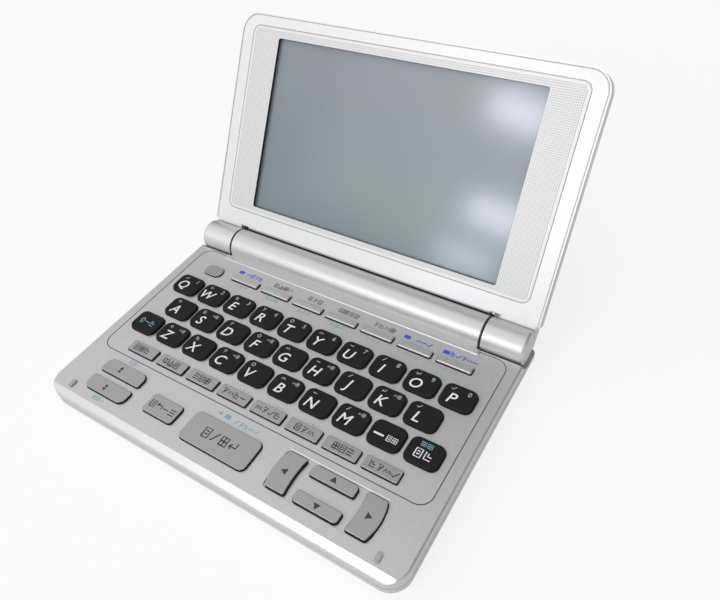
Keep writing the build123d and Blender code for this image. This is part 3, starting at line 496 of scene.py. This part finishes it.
def satin_keycap(name, paint, level=1.0):
    """Satin grey caps with painted shade on their sides: the tone goes over from top to side with the
    surface's own direction, so the rounded edge keeps a bright line. level makes the top lighter or darker."""
    finish = Finish(name)
    upward = finish.parts_of(finish.place.outputs["Normal"])[2]
    top = finish.spread(upward, 0.0, 1.0, 0.45, 0.75)
    grain = finish.noise(paint.flake_size)
    silver = toned(tuple(paint.key_silver), level)
    tone = finish.mixed(finish.spread(grain, 0.0, 1.0), toned(silver, 0.92), toned(silver, 1.08))
    # painted shade: faces that turn away from above take the dark side colour
    tone = finish.mixed(top, tuple(paint.key_side), tone)
    finish.surface(Base_Color=tone, Metallic=0.6, Roughness=finish.spread(grain, 0.27, 0.35),
                   Normal=finish.bump(grain, 0.000005, 0.5))
    return finish.material


def rubber(name, tint, roughness=0.72):
    """Soft rubber: cloudy tone and a fine pitted grain."""
    finish = Finish(name)
    grain = finish.noise(0.00025, 3.0)
    tone = finish.mixed(finish.spread(grain, 0.0, 1.0), toned(tint, 0.8), toned(tint, 1.2))
    finish.surface(Base_Color=tone, Roughness=finish.spread(grain, roughness - 0.06, roughness + 0.06),
                   Normal=finish.bump(grain, 0.00002, 0.6))
    return finish.material


def turned_metal(name, tint, roughness=0.3):
    """Plated steel with fine marks drawn out along the hinge."""
    finish = Finish(name)
    drawn = finish.node("ShaderNodeMapping", {"Vector": finish.place.outputs["Object"],
                                              "Scale": (0.08, 1.0, 1.0)}).outputs["Vector"]
    marks = finish.noise(0.00012, 2.0, drawn)
    tone = finish.mixed(finish.spread(marks, 0.0, 1.0), toned(tint, 0.85), toned(tint, 1.12))
    finish.surface(Base_Color=tone, Metallic=1.0, Roughness=finish.spread(marks, roughness - 0.06,
                                                                         roughness + 0.08),
                   Normal=finish.bump(marks, 0.000004, 0.5))
    return finish.material


def board_laminate():
    """Green solder mask with tracks that show through as lighter steps, and dark packages below."""
    finish = Finish("board_solder_mask")
    cells = finish.node("ShaderNodeTexVoronoi", {"Vector": finish.place.outputs["Object"], "Scale": 420.0},
                        distance="MANHATTAN")
    tracks = finish.spread(cells.outputs["Distance"], 0.0, 1.0, 0.42, 0.50)
    grain = finish.noise(0.0006, 2.0)
    tone = finish.mixed(tracks, (0.010, 0.085, 0.035), (0.022, 0.15, 0.06))
    tone = finish.mixed(finish.spread(grain, 0.0, 0.25), tone, (0.01, 0.06, 0.03))
    finish.surface(Base_Color=tone, Roughness=0.33, Coat_Weight=0.3,
                   Normal=finish.bump(tracks, 0.00002, 0.5))
    return finish.material


def cell_wrap():
    """Wrapped dry cells: a dark sleeve, a brighter band at one end and bare metal at the nubs."""
    finish = Finish("cell_wrap")
    across = finish.parts_of(finish.place.outputs["Object"])[0]
    period = finish.math("FRACT", finish.math("DIVIDE", across, 44.5 * MM))
    band = finish.math("GREATER_THAN", period, 0.72)
    grain = finish.noise(0.0008, 2.0)
    tone = finish.mixed(band, (0.06, 0.065, 0.075), (0.52, 0.50, 0.46))
    tone = finish.mixed(finish.spread(grain, 0.0, 0.2), tone, (0.02, 0.02, 0.02))
    finish.surface(Base_Color=tone, Metallic=0.3, Roughness=finish.spread(grain, 0.25, 0.35))
    return finish.material


def milky_silicone():
    """The key mat: milky, slightly translucent silicone."""
    finish = Finish("mat_silicone")
    grain = finish.noise(0.0012, 2.0)
    tone = finish.mixed(finish.spread(grain, 0.0, 1.0), (0.62, 0.63, 0.60), (0.72, 0.73, 0.70))
    finish.surface(Base_Color=tone, Roughness=finish.spread(grain, 0.42, 0.52),
                   Subsurface_Weight=0.2, Subsurface_Scale=0.001)
    return finish.material


def amber_film():
    """The flat cable: amber film with fine parallel tracks."""
    finish = Finish("cable_amber_film")
    across = finish.parts_of(finish.place.outputs["Object"])[0]
    tracks = finish.math("COSINE", finish.math("MULTIPLY", across, 2 * math.pi / (0.3 * MM)))
    tone = finish.mixed(finish.spread(tracks, 0.0, 1.0, -0.2, 0.2), (0.34, 0.13, 0.03), (0.50, 0.24, 0.07))
    finish.surface(Base_Color=tone, Roughness=0.3, Coat_Weight=0.4)
    return finish.material


def ink(name, tint):
    """Printed ink: even tone broken by the grain of what it is printed on."""
    finish = Finish(name)
    grain = finish.noise(0.00012, 2.0)
    tone = finish.mixed(finish.spread(grain, 0.0, 1.0), toned(tint, 0.88), toned(tint, 1.06))
    finish.surface(Base_Color=tone, Roughness=finish.spread(grain, 0.42, 0.55))
    return finish.material


def dress(material, *nodes):
    """Gives CAD nodes a finish through their material slots."""
    for name in nodes:
        mesh = frame["nodes"][name].data
        mesh.materials.clear()
        mesh.materials.append(material)


# ---------------------------------------------------------------- stroke marks
def stroke_marks():
    """Plain marks drawn as strokes in a square of side 1: rows of bars, boxes, rings and arrows."""
    box = [(0.05, 0.05), (0.95, 0.05), (0.95, 0.95), (0.05, 0.95), (0.05, 0.05)]
    ring = arc((0.5, 0.5), 0.42, 0, 360, 20)
    return {
        "list": [[(0.0, 0.9), (1.0, 0.9)], [(0.0, 0.5), (1.0, 0.5)], [(0.0, 0.1), (1.0, 0.1)]],
        "page": [[(0.1, 0.0), (0.1, 1.0), (0.9, 1.0), (0.9, 0.0), (0.1, 0.0)],
                 [(0.3, 0.68), (0.7, 0.68)], [(0.3, 0.36), (0.7, 0.36)]],
        "grid": [box, [(0.5, 0.05), (0.5, 0.95)], [(0.05, 0.5), (0.95, 0.5)]],
        "book": [[(0.5, 0.1), (0.0, 0.25), (0.0, 0.95), (0.5, 0.8), (1.0, 0.95), (1.0, 0.25), (0.5, 0.1)],
                 [(0.5, 0.1), (0.5, 0.8)]],
        "lens": [arc((0.42, 0.58), 0.34, 0, 360, 18), [(0.68, 0.32), (1.0, 0.0)]],
        "clock": [ring, [(0.5, 0.78), (0.5, 0.5), (0.72, 0.5)]],
        "chart": [[(0.12, 0.0), (0.12, 0.5)], [(0.5, 0.0), (0.5, 1.0)], [(0.88, 0.0), (0.88, 0.7)],
                  [(0.0, 0.0), (1.0, 0.0)]],
        "wave": [[(0.0, 0.25), (0.25, 0.75), (0.5, 0.25), (0.75, 0.75), (1.0, 0.25)]],
        "bar": [[(0.0, 0.5), (1.0, 0.5)]],
        "cross": [[(0.0, 0.5), (1.0, 0.5)], [(0.5, 0.0), (0.5, 1.0)]],
        "slash": [[(0.15, 0.0), (0.85, 1.0)]],
        "corner": [[(0.95, 0.95), (0.95, 0.4), (0.1, 0.4)], [(0.38, 0.68), (0.08, 0.4), (0.38, 0.12)]],
        "back": [[(1.0, 0.2), (1.0, 0.6), (0.9, 0.72), (0.05, 0.72)], [(0.32, 0.98), (0.05, 0.72), (0.32, 0.46)]],
        "shift": [[(0.5, 1.0), (0.0, 0.5), (0.28, 0.5), (0.28, 0.05), (0.72, 0.05), (0.72, 0.5),
                   (1.0, 0.5), (0.5, 1.0)]],
        "ring": [ring],
        "tick": [[(0.0, 0.45), (0.35, 0.1), (1.0, 0.9)]],
        "angle": [[(0.1, 0.9), (0.9, 0.9), (0.3, 0.0)], [(0.3, 0.55), (0.7, 0.45)]],
        "steps": [[(0.1, 1.0), (0.1, 0.1), (0.9, 0.1)], [(0.45, 0.9), (0.45, 0.5), (0.9, 0.5)]],
    }


MARKS = stroke_marks()


def mark_row(names, place, height, width, gap, stroke, thickness):
    """A row of marks centred on a place in metres: each mark's strokes are scaled to millimetres, set
    side by side and given a width."""
    total = len(names) * width + (len(names) - 1) * gap
    forms = []
    for index, name in enumerate(names):
        left = -total / 2 + index * (width + gap)
        for path in MARKS[name]:
            flat = np.asarray(path, float) * (width, height) + (left, -height / 2)
            points, faces = ribbon(flat, stroke, thickness)
            forms.append((points, faces))
    points, faces = joined(forms)
    return points * MM + np.asarray(place), faces


def text_form(body, height, slant, weight, thickness):
    """Flat lettering from the built-in font as points and faces, centred on the origin. It is made at
    unit size and scaled: height is that of a capital, and weight thickens the strokes by a share of it."""
    curve = bpy.data.curves.new("lettering", "FONT")
    curve.body = body
    curve.size = 1.0 / CAPITAL_SHARE
    curve.shear = slant
    curve.offset = weight
    curve.extrude = 0.5
    curve.resolution_u = 4
    holder = bpy.data.objects.new("lettering", curve)
    bpy.context.scene.collection.objects.link(holder)
    bpy.context.view_layer.update()
    graph = bpy.context.evaluated_depsgraph_get()
    mesh = bpy.data.meshes.new_from_object(holder.evaluated_get(graph))
    points = np.zeros(len(mesh.vertices) * 3)
    mesh.vertices.foreach_get("co", points)
    points = points.reshape(-1, 3)
    faces = [list(polygon.vertices) for polygon in mesh.polygons]
    bpy.data.objects.remove(holder)
    bpy.data.curves.remove(curve)
    bpy.data.meshes.remove(mesh)
    middle = (points.min(0) + points.max(0)) / 2
    middle[2] = points[:, 2].min()
    points = (points - middle) * (height, height, thickness)
    if np.abs(points[:, :2]).max() > height:
        raise RuntimeError(f"the outline of {body} runs out of its place")
    return points, faces


# ---------------------------------------------------------------- operators
SKY_RAMP = ((0.0, 0.28), (0.14, 0.27), (0.30, 0.24), (0.50, 0.36), (0.61, 0.50), (0.70, 0.43), (0.80, 0.38),
            (0.90, 0.38), (1.0, 0.34))
SKY_LEFT = 0.6
SKY_FRONT = 0.85
SKY_BACK = 1.5
FRONT_GLOW = 0.42
GLINT_COLOUR = (0.88, 0.90, 1.0)
FLOOR_HALF, FLOOR_DROP = 3.0, 0.02 * MM


def settings():
    return bpy.context.scene.dictionary_paint, bpy.context.scene.dictionary_print


class DICTIONARY_OT_case_paint(Operator):
    """Paints the base: case, battery door, pads, feet and screws"""
    bl_idname = "dictionary.case_paint"
    bl_label = "Case paint"

    def execute(self, context):
        paint, _ = settings()
        silver = silver_paint("case_silver_paint", tuple(paint.case_silver), paint.flake_size)
        dress(silver, "lower_case", "battery_door")
        # painted shade in the key gaps, the groove and the barrels' seat, and a painted highlight along the dish's
        # edge
        dress(silver_paint("panel_silver_paint", tuple(paint.case_silver), paint.flake_size,
                           painted_shade_mask=panel_painted_shade, painted_highlight_mask=dish_edge_highlight), "upper_case")
        dress(rubber("pad_grey_rubber", (0.40, 0.40, 0.40), 0.5), "closing_pads")
        dress(rubber("foot_dark_rubber", (0.03, 0.03, 0.032)), "rubber_feet")
        dress(turned_metal("screw_plating", (0.48, 0.48, 0.49)), "case_screws", "lid_screws")
        return {"FINISHED"}


class DICTIONARY_OT_inner_parts(Operator):
    """Finishes what sits inside: mat, board, cells, contacts, hinge parts and cable"""
    bl_idname = "dictionary.inner_parts"
    bl_label = "Inner parts"

    def execute(self, context):
        dress(milky_silicone(), "key_mat")
        dress(board_laminate(), "circuit_board")
        dress(cell_wrap(), "battery_cells")
        dress(turned_metal("contact_nickel", (0.66, 0.64, 0.58)), "battery_contacts")
        dress(turned_metal("hinge_steel", (0.46, 0.46, 0.47)), "hinge_clutches", "hinge_pins")
        dress(rubber("gasket_black_foam", (0.012, 0.012, 0.012), 0.85), "screen_gasket")
        dress(amber_film(), "display_cable")
        return {"FINISHED"}


class DICTIONARY_OT_lid_paint(Operator):
    """Paints the lid: cover, barrels, frame, dotted surround and the display"""
    bl_idname = "dictionary.lid_paint"
    bl_label = "Lid paint"

    def execute(self, context):
        paint, _ = settings()
        # painted shade at the lid's foot, on the cover and on the frame
        dress(silver_paint("cover_silver_paint", tuple(paint.cover_silver), paint.flake_size,
                           painted_shade_mask=lid_foot), "lid_cover", "hinge_end_caps")
        dress(silver_paint("frame_pearl_paint", tuple(paint.frame_pearl), paint.flake_size,
                           metallic=0.15, roughness=0.3, coat=0.2, sparkle=0.03, painted_shade_mask=lid_foot),
              "lid_frame")
        dress(dotted_pearl(paint), "screen_surround")
        dress(display_surface(paint), "lcd_panel")
        return {"FINISHED"}


class DICTIONARY_OT_lip_shade_strip(Operator):
    """Puts a dark strip under the lid's lip, where it passes the fixed barrel: painted shade, a dark piece
    standing in for the shadow in the gap there
    """
    bl_idname = "dictionary.lip_seal"
    bl_label = "Lip seal"

    def execute(self, context):
        """The strip's section is an arc round the hinge axis, closed by two points on the lip's underside,
        carried along the hinge."""
        turn = np.radians(np.linspace(*SHADE_STRIP_ARC, 12))
        radius = BARREL_RADIUS + SHADE_STRIP_GAP
        inner = np.stack([radius * np.cos(turn), -radius * np.sin(turn)], 1)
        lip = np.array([(LIP_BOTTOM + 0.02 * MM, inner[-1, 1]), (LIP_BOTTOM + 0.02 * MM, inner[0, 1])])
        section = np.concatenate([inner, lip])
        count = len(section)
        ends = [np.hstack([np.full((count, 1), x), section]) for x in (-SHADE_STRIP_HALF, SHADE_STRIP_HALF)]
        first = np.arange(count)
        after = (first + 1) % count
        sides = np.stack([first, first + count, after + count, after], 1)
        faces = [first.tolist(), (first + count)[::-1].tolist(), *sides.tolist()]
        # painted shade: the dark strip stands in for the shadow in the gap over the fixed barrel
        made = piece("lip_seal", on_lid(np.concatenate(ends)), faces,
                     rubber("seal_black_foam", (0.012, 0.012, 0.013), 0.85), "lid")
        form = bmesh.new()
        form.from_mesh(made.data)
        bmesh.ops.recalc_face_normals(form, faces=form.faces)
        form.to_mesh(made.data)
        form.free()
        return {"FINISHED"}


class DICTIONARY_OT_key_caps(Operator):
    """Gives the letter keys their black caps and the others their satin grey ones"""
    bl_idname = "dictionary.key_caps"
    bl_label = "Key caps"

    def execute(self, context):
        paint, _ = settings()
        keys = [name for name in frame["nodes"] if name.startswith("key_") and name != "key_mat"]
        black = [name for name in keys
                 if name[4:] in LETTERS or name in ("key_shift", "key_dash", "key_delete")]
        dress(black_keycap(paint), *black)
        satin = [name for name in keys if name not in black]
        dress(satin_keycap("keycap_satin_grey", paint), *satin, "lower_function_strip")
        # painted light: a lighter copy of the satin grey for the upper comb's keys, standing for the highlight on
        # their curved tops
        dress(satin_keycap("keycap_satin_pale", paint, 1.4), "upper_function_strip")
        return {"FINISHED"}


class DICTIONARY_OT_letter_legends(Operator):
    """Prints a slanted capital and two small marks on each letter key"""
    bl_idname = "dictionary.letter_legends"
    bl_label = "Letter legends"

    def execute(self, context):
        _, printing = settings()
        white = ink("legend_white_ink", tuple(printing.legend_white))
        pale = ink("legend_pale_ink", toned(tuple(printing.legend_white), 0.5))
        thick = printing.ink_thickness
        small = ("tick", "cross", "steps", "angle", "ring", "wave", "bar", "slash", "corner")
        for index, letter in enumerate(LETTERS):
            top = key_top(f"key_{letter}") - (0, 0, thick / 4)
            points, faces = text_form(letter.upper(), printing.letter_height, 0.18, 0.010, thick)
            piece(f"legend_{letter}", points + top + (-1.6 * MM, -1.2 * MM, 0), faces, white,
                  f"key_{letter}_cap")
            forms = [mark_row([small[index % len(small)]], top + (-2.7 * MM, 2.7 * MM, 0), 1.5, 1.5, 0.0,
                              0.32, thick / MM)]
            if index < 10:
                points, faces = text_form(str((index + 1) % 10), 1.8 * MM, 0.1, 0.02, thick)
                forms.append((points + top + (3.0 * MM, 2.4 * MM, 0), faces))
            elif index % 2:
                forms.append(mark_row(["wave", "page"], top + (2.5 * MM, 2.6 * MM, 0), 1.3, 1.1, 0.3, 0.26,
                                      thick / MM))
            points, faces = joined(forms)
            piece(f"minor_legend_{letter}", points, faces, pale, f"key_{letter}_cap")
        return {"FINISHED"}


class DICTIONARY_OT_key_marks(Operator):
    """Prints plain marks on the shift, dash and delete keys and on the satin grey keys"""
    bl_idname = "dictionary.key_marks"
    bl_label = "Key marks"

    def execute(self, context):
        _, printing = settings()
        inks = {name: ink(f"{name}_ink", tuple(getattr(printing, f"{name}_ink")))
                for name in ("teal", "black")}
        inks["white"] = bpy.data.materials["legend_white_ink"]
        thick = printing.ink_thickness / MM
        single = [
            ("key_shift", "teal", ["shift", "bar", "steps"], (0, 0), 2.6, 2.0, 0.5, 0.34),
            ("key_dash", "white", ["bar"], (-2.4, -0.9), 1.0, 3.6, 0.0, 0.7),
            ("key_dash", "white", ["page", "grid"], (2.3, -0.9), 2.0, 1.7, 0.4, 0.26),
            ("key_delete", "teal", ["list", "grid"], (-0.4, 2.5), 1.6, 1.8, 0.4, 0.3),
            ("key_delete", "white", ["page", "steps"], (0, -0.9), 3.0, 2.7, 0.6, 0.38),
            ("key_enter", "black", ["page", "slash", "grid", "corner"], (0, 0), 3.5, 2.9, 0.75, 0.5),
            ("key_back", "black", ["page", "back", "bar", "list"], (0, 0), 2.5, 2.3, 0.6, 0.4),
        ]
        for index, (node, tint, names, (x, y), height, width, gap, stroke) in enumerate(single):
            place = key_top(node) + (x * MM, y * MM, -thick * MM / 4)
            points, faces = mark_row(names, place, height, width, gap, stroke, thick)
            piece(f"mark_{node[4:]}_{index}", points, faces, inks[tint], f"{node}_cap")
        self.strip_marks(inks["black"], thick)
        self.arrow_marks(inks["black"], thick)
        return {"FINISHED"}

    def strip_marks(self, finish, thick):
        """Marks on the eight keys of the lower comb."""
        rows = (["page", "grid", "steps"], ["book", "chart", "page"], ["list", "page", "grid"],
                ["angle", "wave", "steps", "bar"],
                ["wave", "angle", "tick", "steps"], ["page", "angle", "wave"], ["grid", "page", "list"],
                ["steps", "angle", "wave", "tick"])
        low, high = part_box("lower_function_strip")
        key_width = 12.6 * MM
        pitch = (high.x - low.x - key_width) / (len(rows) - 1)
        forms = []
        for index, names in enumerate(rows):
            x = low.x + key_width / 2 + index * pitch
            place = (x, HINGE_PLACE[1] - 62.7 * MM, high.z - thick * MM / 4)
            forms.append(mark_row(names, place, 2.4, 2.15, 0.4, 0.42, thick))
        points, faces = joined(forms)
        piece("marks_lower_strip", points, faces, finish, "lower_function_strip_comb")

    def arrow_marks(self, finish, thick):
        """A triangle on each arrow key, and a double one on each page key."""
        turns = {"up": 90, "left": 180, "down": 270, "right": 0}
        for name, turn in turns.items():
            angles = np.radians(np.array([0, 120, 240]) + turn)
            outline = np.stack([np.cos(angles), np.sin(angles)], 1) * 1.35
            points, faces = slab(outline, thick)
            points = points * MM + key_top(f"key_{name}") + (0, 0, -thick * MM / 4)
            piece(f"arrow_{name}", points, faces, finish, f"key_{name}_cap")
        for name, side, x in (("page_up", 1, -1.8), ("page_down", -1, -1.0)):
            angles = np.radians(np.array([90, 210, 330])) * side
            angles = angles if side > 0 else angles[::-1]
            outline = np.stack([np.cos(angles), np.sin(angles)], 1) * 0.9
            forms = []
            for step in (-0.55, 0.75):
                points, faces = slab(outline + (0, step * side), thick)
                forms.append((points * MM + key_top(f"key_{name}") + (x * MM, 0, -thick * MM / 4), faces))
            points, faces = joined(forms)
            piece(f"arrow_{name}", points, faces, finish, f"key_{name}_cap")


class DICTIONARY_OT_panel_print(Operator):
    """Prints the blue, grey and teal marks on the keyboard panel"""
    bl_idname = "dictionary.panel_print"
    bl_label = "Panel print"

    def execute(self, context):
        _, printing = settings()
        thick = printing.ink_thickness / MM
        upper = [6.3 + (i - 3) * 15.3 for i in range(7)]
        lower = [(i - 3.5) * 14.48 for i in range(8)]
        words = (["wave", "list", "angle", "steps"], ["page", "chart", "grid", "wave"],
                 ["list", "angle", "page"], ["book", "grid", "list", "page"],
                 ["angle", "steps", "wave", "grid"], ["wave", "bar", "tick"],
                 ["steps", "tick", "angle", "wave", "bar"])
        blue, grey, teal = [], [], []
        for index, (x, names) in enumerate(zip(upper, words)):
            if index in (0, 5, 6):
                blue.append(self.square(x - 5.1, -12.9, 2.4, 1.6, thick))
                blue.append(self.row(names, x + 1.6, -12.9, 2.0, 1.8, 0.25, 0.44, thick))
            else:
                grey.append(self.row(names, x + 0.6, -12.7, 2.0, 1.9, 0.4, 0.42, thick))
            teal.append(self.row(names[:3], x, -19.9, 1.3, 1.5, 0.6, 0.24, thick))
        teal.append(self.square(-3.8, -70.3, 2.2, 1.6, thick))
        teal.append(self.row(["slash", "angle", "steps", "wave", "tick"], 4.2, -70.6, 1.7, 1.6, 0.45, 0.34, thick))
        grey.append(self.row(["bar", "ring"], -7.3, -70.2, 0.9, 0.9, 0.2, 0.2, thick))
        teal.append(self.row(["list", "page", "bar"], -49.2, -68.9, 1.5, 1.6, 0.4, 0.32, thick))
        teal.append(self.row(["list", "page", "bar"], -49.6, -86.3, 1.5, 1.6, 0.4, 0.32, thick))
        for x in lower[3:6]:
            teal.append(self.row(["bar", "steps", "wave"], x + 1.5, -59.3, 0.9, 1.1, 0.5, 0.16, thick))
        for name, forms in (("blue", blue), ("grey", grey), ("teal", teal)):
            if name == "grey":
                finish = ink("grey_ink", tuple(printing.grey_ink))
            elif name == "blue":
                finish = ink("blue_ink", tuple(printing.blue_ink))
            else:
                finish = bpy.data.materials["teal_ink"]
            points, faces = joined(forms)
            piece(f"panel_print_{name}", points, faces, finish, "base")
        return {"FINISHED"}

    def square(self, x, y, width, height, thick):
        outline = np.array([(-1, -1), (1, -1), (1, 1), (-1, 1)]) * (width / 2, height / 2)
        points, faces = slab(outline, thick)
        return points * MM + on_panel(x, y, -thick / 4), faces

    def row(self, names, x, y, height, width, gap, stroke, thick):
        return mark_row(names, on_panel(x, y, -thick / 4), height, width, gap, stroke, thick)


class DICTIONARY_OT_studio(Operator):
    """Sets up the pale floor, the lamps, the sky and the camera"""
    bl_idname = "dictionary.studio"
    bl_label = "Studio"

    def execute(self, context):
        studio = context.scene.dictionary_studio
        self.floor(studio)
        self.sky(studio)
        self.lamp("front_softbox", (-0.30, -0.93, 0.62), (0.8, 0.45), studio.front_level)
        self.lamp("left_softbox", (-0.45, 0.26, 1.02), (0.45, 1.0), studio.left_level)
        self.lamp("top_softbox", (0.08, 0.10, 1.20), (1.2, 1.2), studio.top_level)
        self.lamp("upper_glint", (-0.36, -1.05, 0.82), (0.15, 0.07), studio.glint_level, GLINT_COLOUR)
        self.lamp("lower_glint", (-0.34, -1.18, 0.61), (0.17, 0.06), studio.glint_level, GLINT_COLOUR)
        self.lamp("corner_glint", (-0.40, -1.24, 0.50), (0.15, 0.06), studio.glint_level / 2, GLINT_COLOUR)
        self.camera(studio)
        return {"FINISHED"}

    def floor(self, studio):
        """A wide flat floor whose own colour shows white to the camera and keeps the shadow."""
        corners = np.array([(-1, -1, 0), (1, -1, 0), (1, 1, 0), (-1, 1, 0)]) * FLOOR_HALF
        mesh = bpy.data.meshes.new("floor")
        mesh.from_pydata((corners - (0, 0, FLOOR_DROP)).tolist(), [], [(0, 1, 2, 3)])
        finish = Finish("floor_white")
        grain = finish.noise(0.01, 2.0)
        tint = tuple(studio.floor_white)
        tone = finish.mixed(finish.spread(grain, 0.0, 1.0), toned(tint, 0.995), toned(tint, 1.005))
        finish.surface(Base_Color=tone, Roughness=0.9, Specular_IOR_Level=0.1)
        rays = finish.node("ShaderNodeLightPath").outputs
        mirrored = finish.math("MAXIMUM", rays["Is Glossy Ray"], rays["Is Transmission Ray"])
        seen = finish.math("MAXIMUM", rays["Is Camera Ray"], finish.math("MULTIPLY", mirrored, 0.5))
        glow = finish.node("ShaderNodeEmission", {"Color": (1, 1, 1, 1), "Strength": 1.0})
        blend = finish.node("ShaderNodeMixShader", {0: finish.math("MULTIPLY", seen, 0.80)})
        output = finish.tree.nodes["Material Output"]
        finish.tree.links.new(finish.shader.outputs[0], blend.inputs[1])
        finish.tree.links.new(glow.outputs[0], blend.inputs[2])
        finish.tree.links.new(blend.outputs[0], output.inputs[0])
        mesh.materials.append(finish.material)
        made = bpy.data.objects.new("floor", mesh)
        bpy.context.scene.collection.objects.link(made)

    def sky(self, studio):
        """White to the camera. To the object it is bright near the horizon and overhead, dimmer between,
        and brighter on the left and in front than on the right and behind."""
        world = bpy.data.worlds.new("studio_sky")
        bpy.context.scene.world = world
        world.use_nodes = True
        nodes, links = world.node_tree.nodes, world.node_tree.links
        place = nodes.new("ShaderNodeTexCoord")
        parts = nodes.new("ShaderNodeSeparateXYZ")
        links.new(place.outputs["Generated"], parts.inputs[0])
        ramp = nodes.new("ShaderNodeValToRGB")
        stops = ramp.color_ramp.elements
        stops[0].position, stops[1].position = SKY_RAMP[0][0], SKY_RAMP[-1][0]
        for position, _ in SKY_RAMP[1:-1]:
            stops.new(position)
        for stop, (_, level) in zip(stops, SKY_RAMP):
            stop.color = (level, level, level, 1.0)
        links.new(parts.outputs[2], ramp.inputs[0])

        def math_node(operation, *values):
            made = nodes.new("ShaderNodeMath")
            made.operation = operation
            for index, value in enumerate(values):
                if isinstance(value, bpy.types.NodeSocket):
                    links.new(value, made.inputs[index])
                else:
                    made.inputs[index].default_value = value
            return made.outputs[0]

        side = math_node("MULTIPLY_ADD", parts.outputs[0], -SKY_LEFT, 1.0)
        side = math_node("MULTIPLY_ADD", math_node("MINIMUM", math_node("MAXIMUM", parts.outputs[1], -0.2), 0.0),
                         -SKY_FRONT, side)
        side = math_node("MULTIPLY_ADD", math_node("MAXIMUM", parts.outputs[1], 0.0), -SKY_BACK, side)
        side = math_node("MAXIMUM", side, 0.25)
        level = math_node("MULTIPLY", ramp.outputs[0], side)
        level = math_node("MULTIPLY", level, 2.0 * studio.sky_level)
        glow = nodes.new("ShaderNodeMapRange")
        glow.inputs["From Min"].default_value, glow.inputs["From Max"].default_value = -0.3, -0.8
        glow.inputs["To Max"].default_value = FRONT_GLOW * studio.sky_level
        links.new(parts.outputs[1], glow.inputs["Value"])
        rise = nodes.new("ShaderNodeMapRange")
        rise.inputs["From Min"].default_value, rise.inputs["From Max"].default_value = 0.0, 0.15
        links.new(parts.outputs[2], rise.inputs["Value"])
        level = math_node("ADD", level, math_node("MULTIPLY", glow.outputs["Result"], rise.outputs["Result"]))
        rays = nodes.new("ShaderNodeLightPath")
        level = math_node("MAXIMUM", level, rays.outputs["Is Camera Ray"])
        links.new(level, nodes["Background"].inputs[1])
        nodes["Background"].inputs[0].default_value = (1, 1, 1, 1)

    def lamp(self, name, place, size, power, colour=(1.0, 1.0, 1.0)):
        """A wide rectangular lamp that faces the object."""
        light = bpy.data.lights.new(name, "AREA")
        light.shape = "RECTANGLE"
        light.size, light.size_y = size
        light.energy = power
        light.color = colour
        made = bpy.data.objects.new(name, light)
        bpy.context.scene.collection.objects.link(made)
        made.location = place
        aim = -made.location.normalized()
        made.rotation_euler = aim.to_track_quat("-Z", "Y").to_euler()

    def camera(self, studio):
        """The photograph's viewpoint: high in front, from the right."""
        data = bpy.data.cameras.new("camera")
        data.lens = studio.lens
        data.sensor_width = 36.0
        data.clip_start, data.clip_end = 0.01, 20.0
        made = bpy.data.objects.new("camera", data)
        bpy.context.scene.collection.objects.link(made)
        made.location = HINGE_PLACE + (0.1122236, -0.1424535, 0.1716059)
        made.rotation_euler = [math.radians(a) for a in (44.8309, 5.5395, 31.9195)]
        bpy.context.scene.camera = made


class DICTIONARY_PT_panel(Panel):
    """Lists the steps and their settings"""
    bl_idname = "DICTIONARY_PT_panel"
    bl_label = "Pocket dictionary"
    bl_space_type = "VIEW_3D"
    bl_region_type = "UI"
    bl_category = "Dictionary"

    def draw(self, context):
        layout = self.layout
        for group in (context.scene.dictionary_paint, context.scene.dictionary_print,
                      context.scene.dictionary_studio):
            box = layout.box()
            for name in group.__annotations__:
                box.prop(group, name)
        for step in STEPS:
            layout.operator(step.bl_idname)


STEPS = (
    DICTIONARY_OT_case_paint,
    DICTIONARY_OT_inner_parts,
    DICTIONARY_OT_lid_paint,
    DICTIONARY_OT_lip_shade_strip,
    DICTIONARY_OT_key_caps,
    DICTIONARY_OT_letter_legends,
    DICTIONARY_OT_key_marks,
    DICTIONARY_OT_panel_print,
    DICTIONARY_OT_studio,
)
GROUPS = (PaintSettings, PrintSettings, StudioSettings)


def register():
    for group in (*GROUPS, *STEPS, DICTIONARY_PT_panel):
        bpy.utils.register_class(group)
    bpy.types.Scene.dictionary_paint = PointerProperty(type=PaintSettings)
    bpy.types.Scene.dictionary_print = PointerProperty(type=PrintSettings)
    bpy.types.Scene.dictionary_studio = PointerProperty(type=StudioSettings)


def unregister():
    del bpy.types.Scene.dictionary_paint
    del bpy.types.Scene.dictionary_print
    del bpy.types.Scene.dictionary_studio
    for group in reversed((*GROUPS, *STEPS, DICTIONARY_PT_panel)):
        bpy.utils.unregister_class(group)


def main():
    register()
    bpy.context.scene.view_settings.view_transform = "Standard"
    for step in STEPS:
        family, name = step.bl_idname.split(".")
        getattr(getattr(bpy.ops, family), name)()


if __name__ == "__main__":
    main()
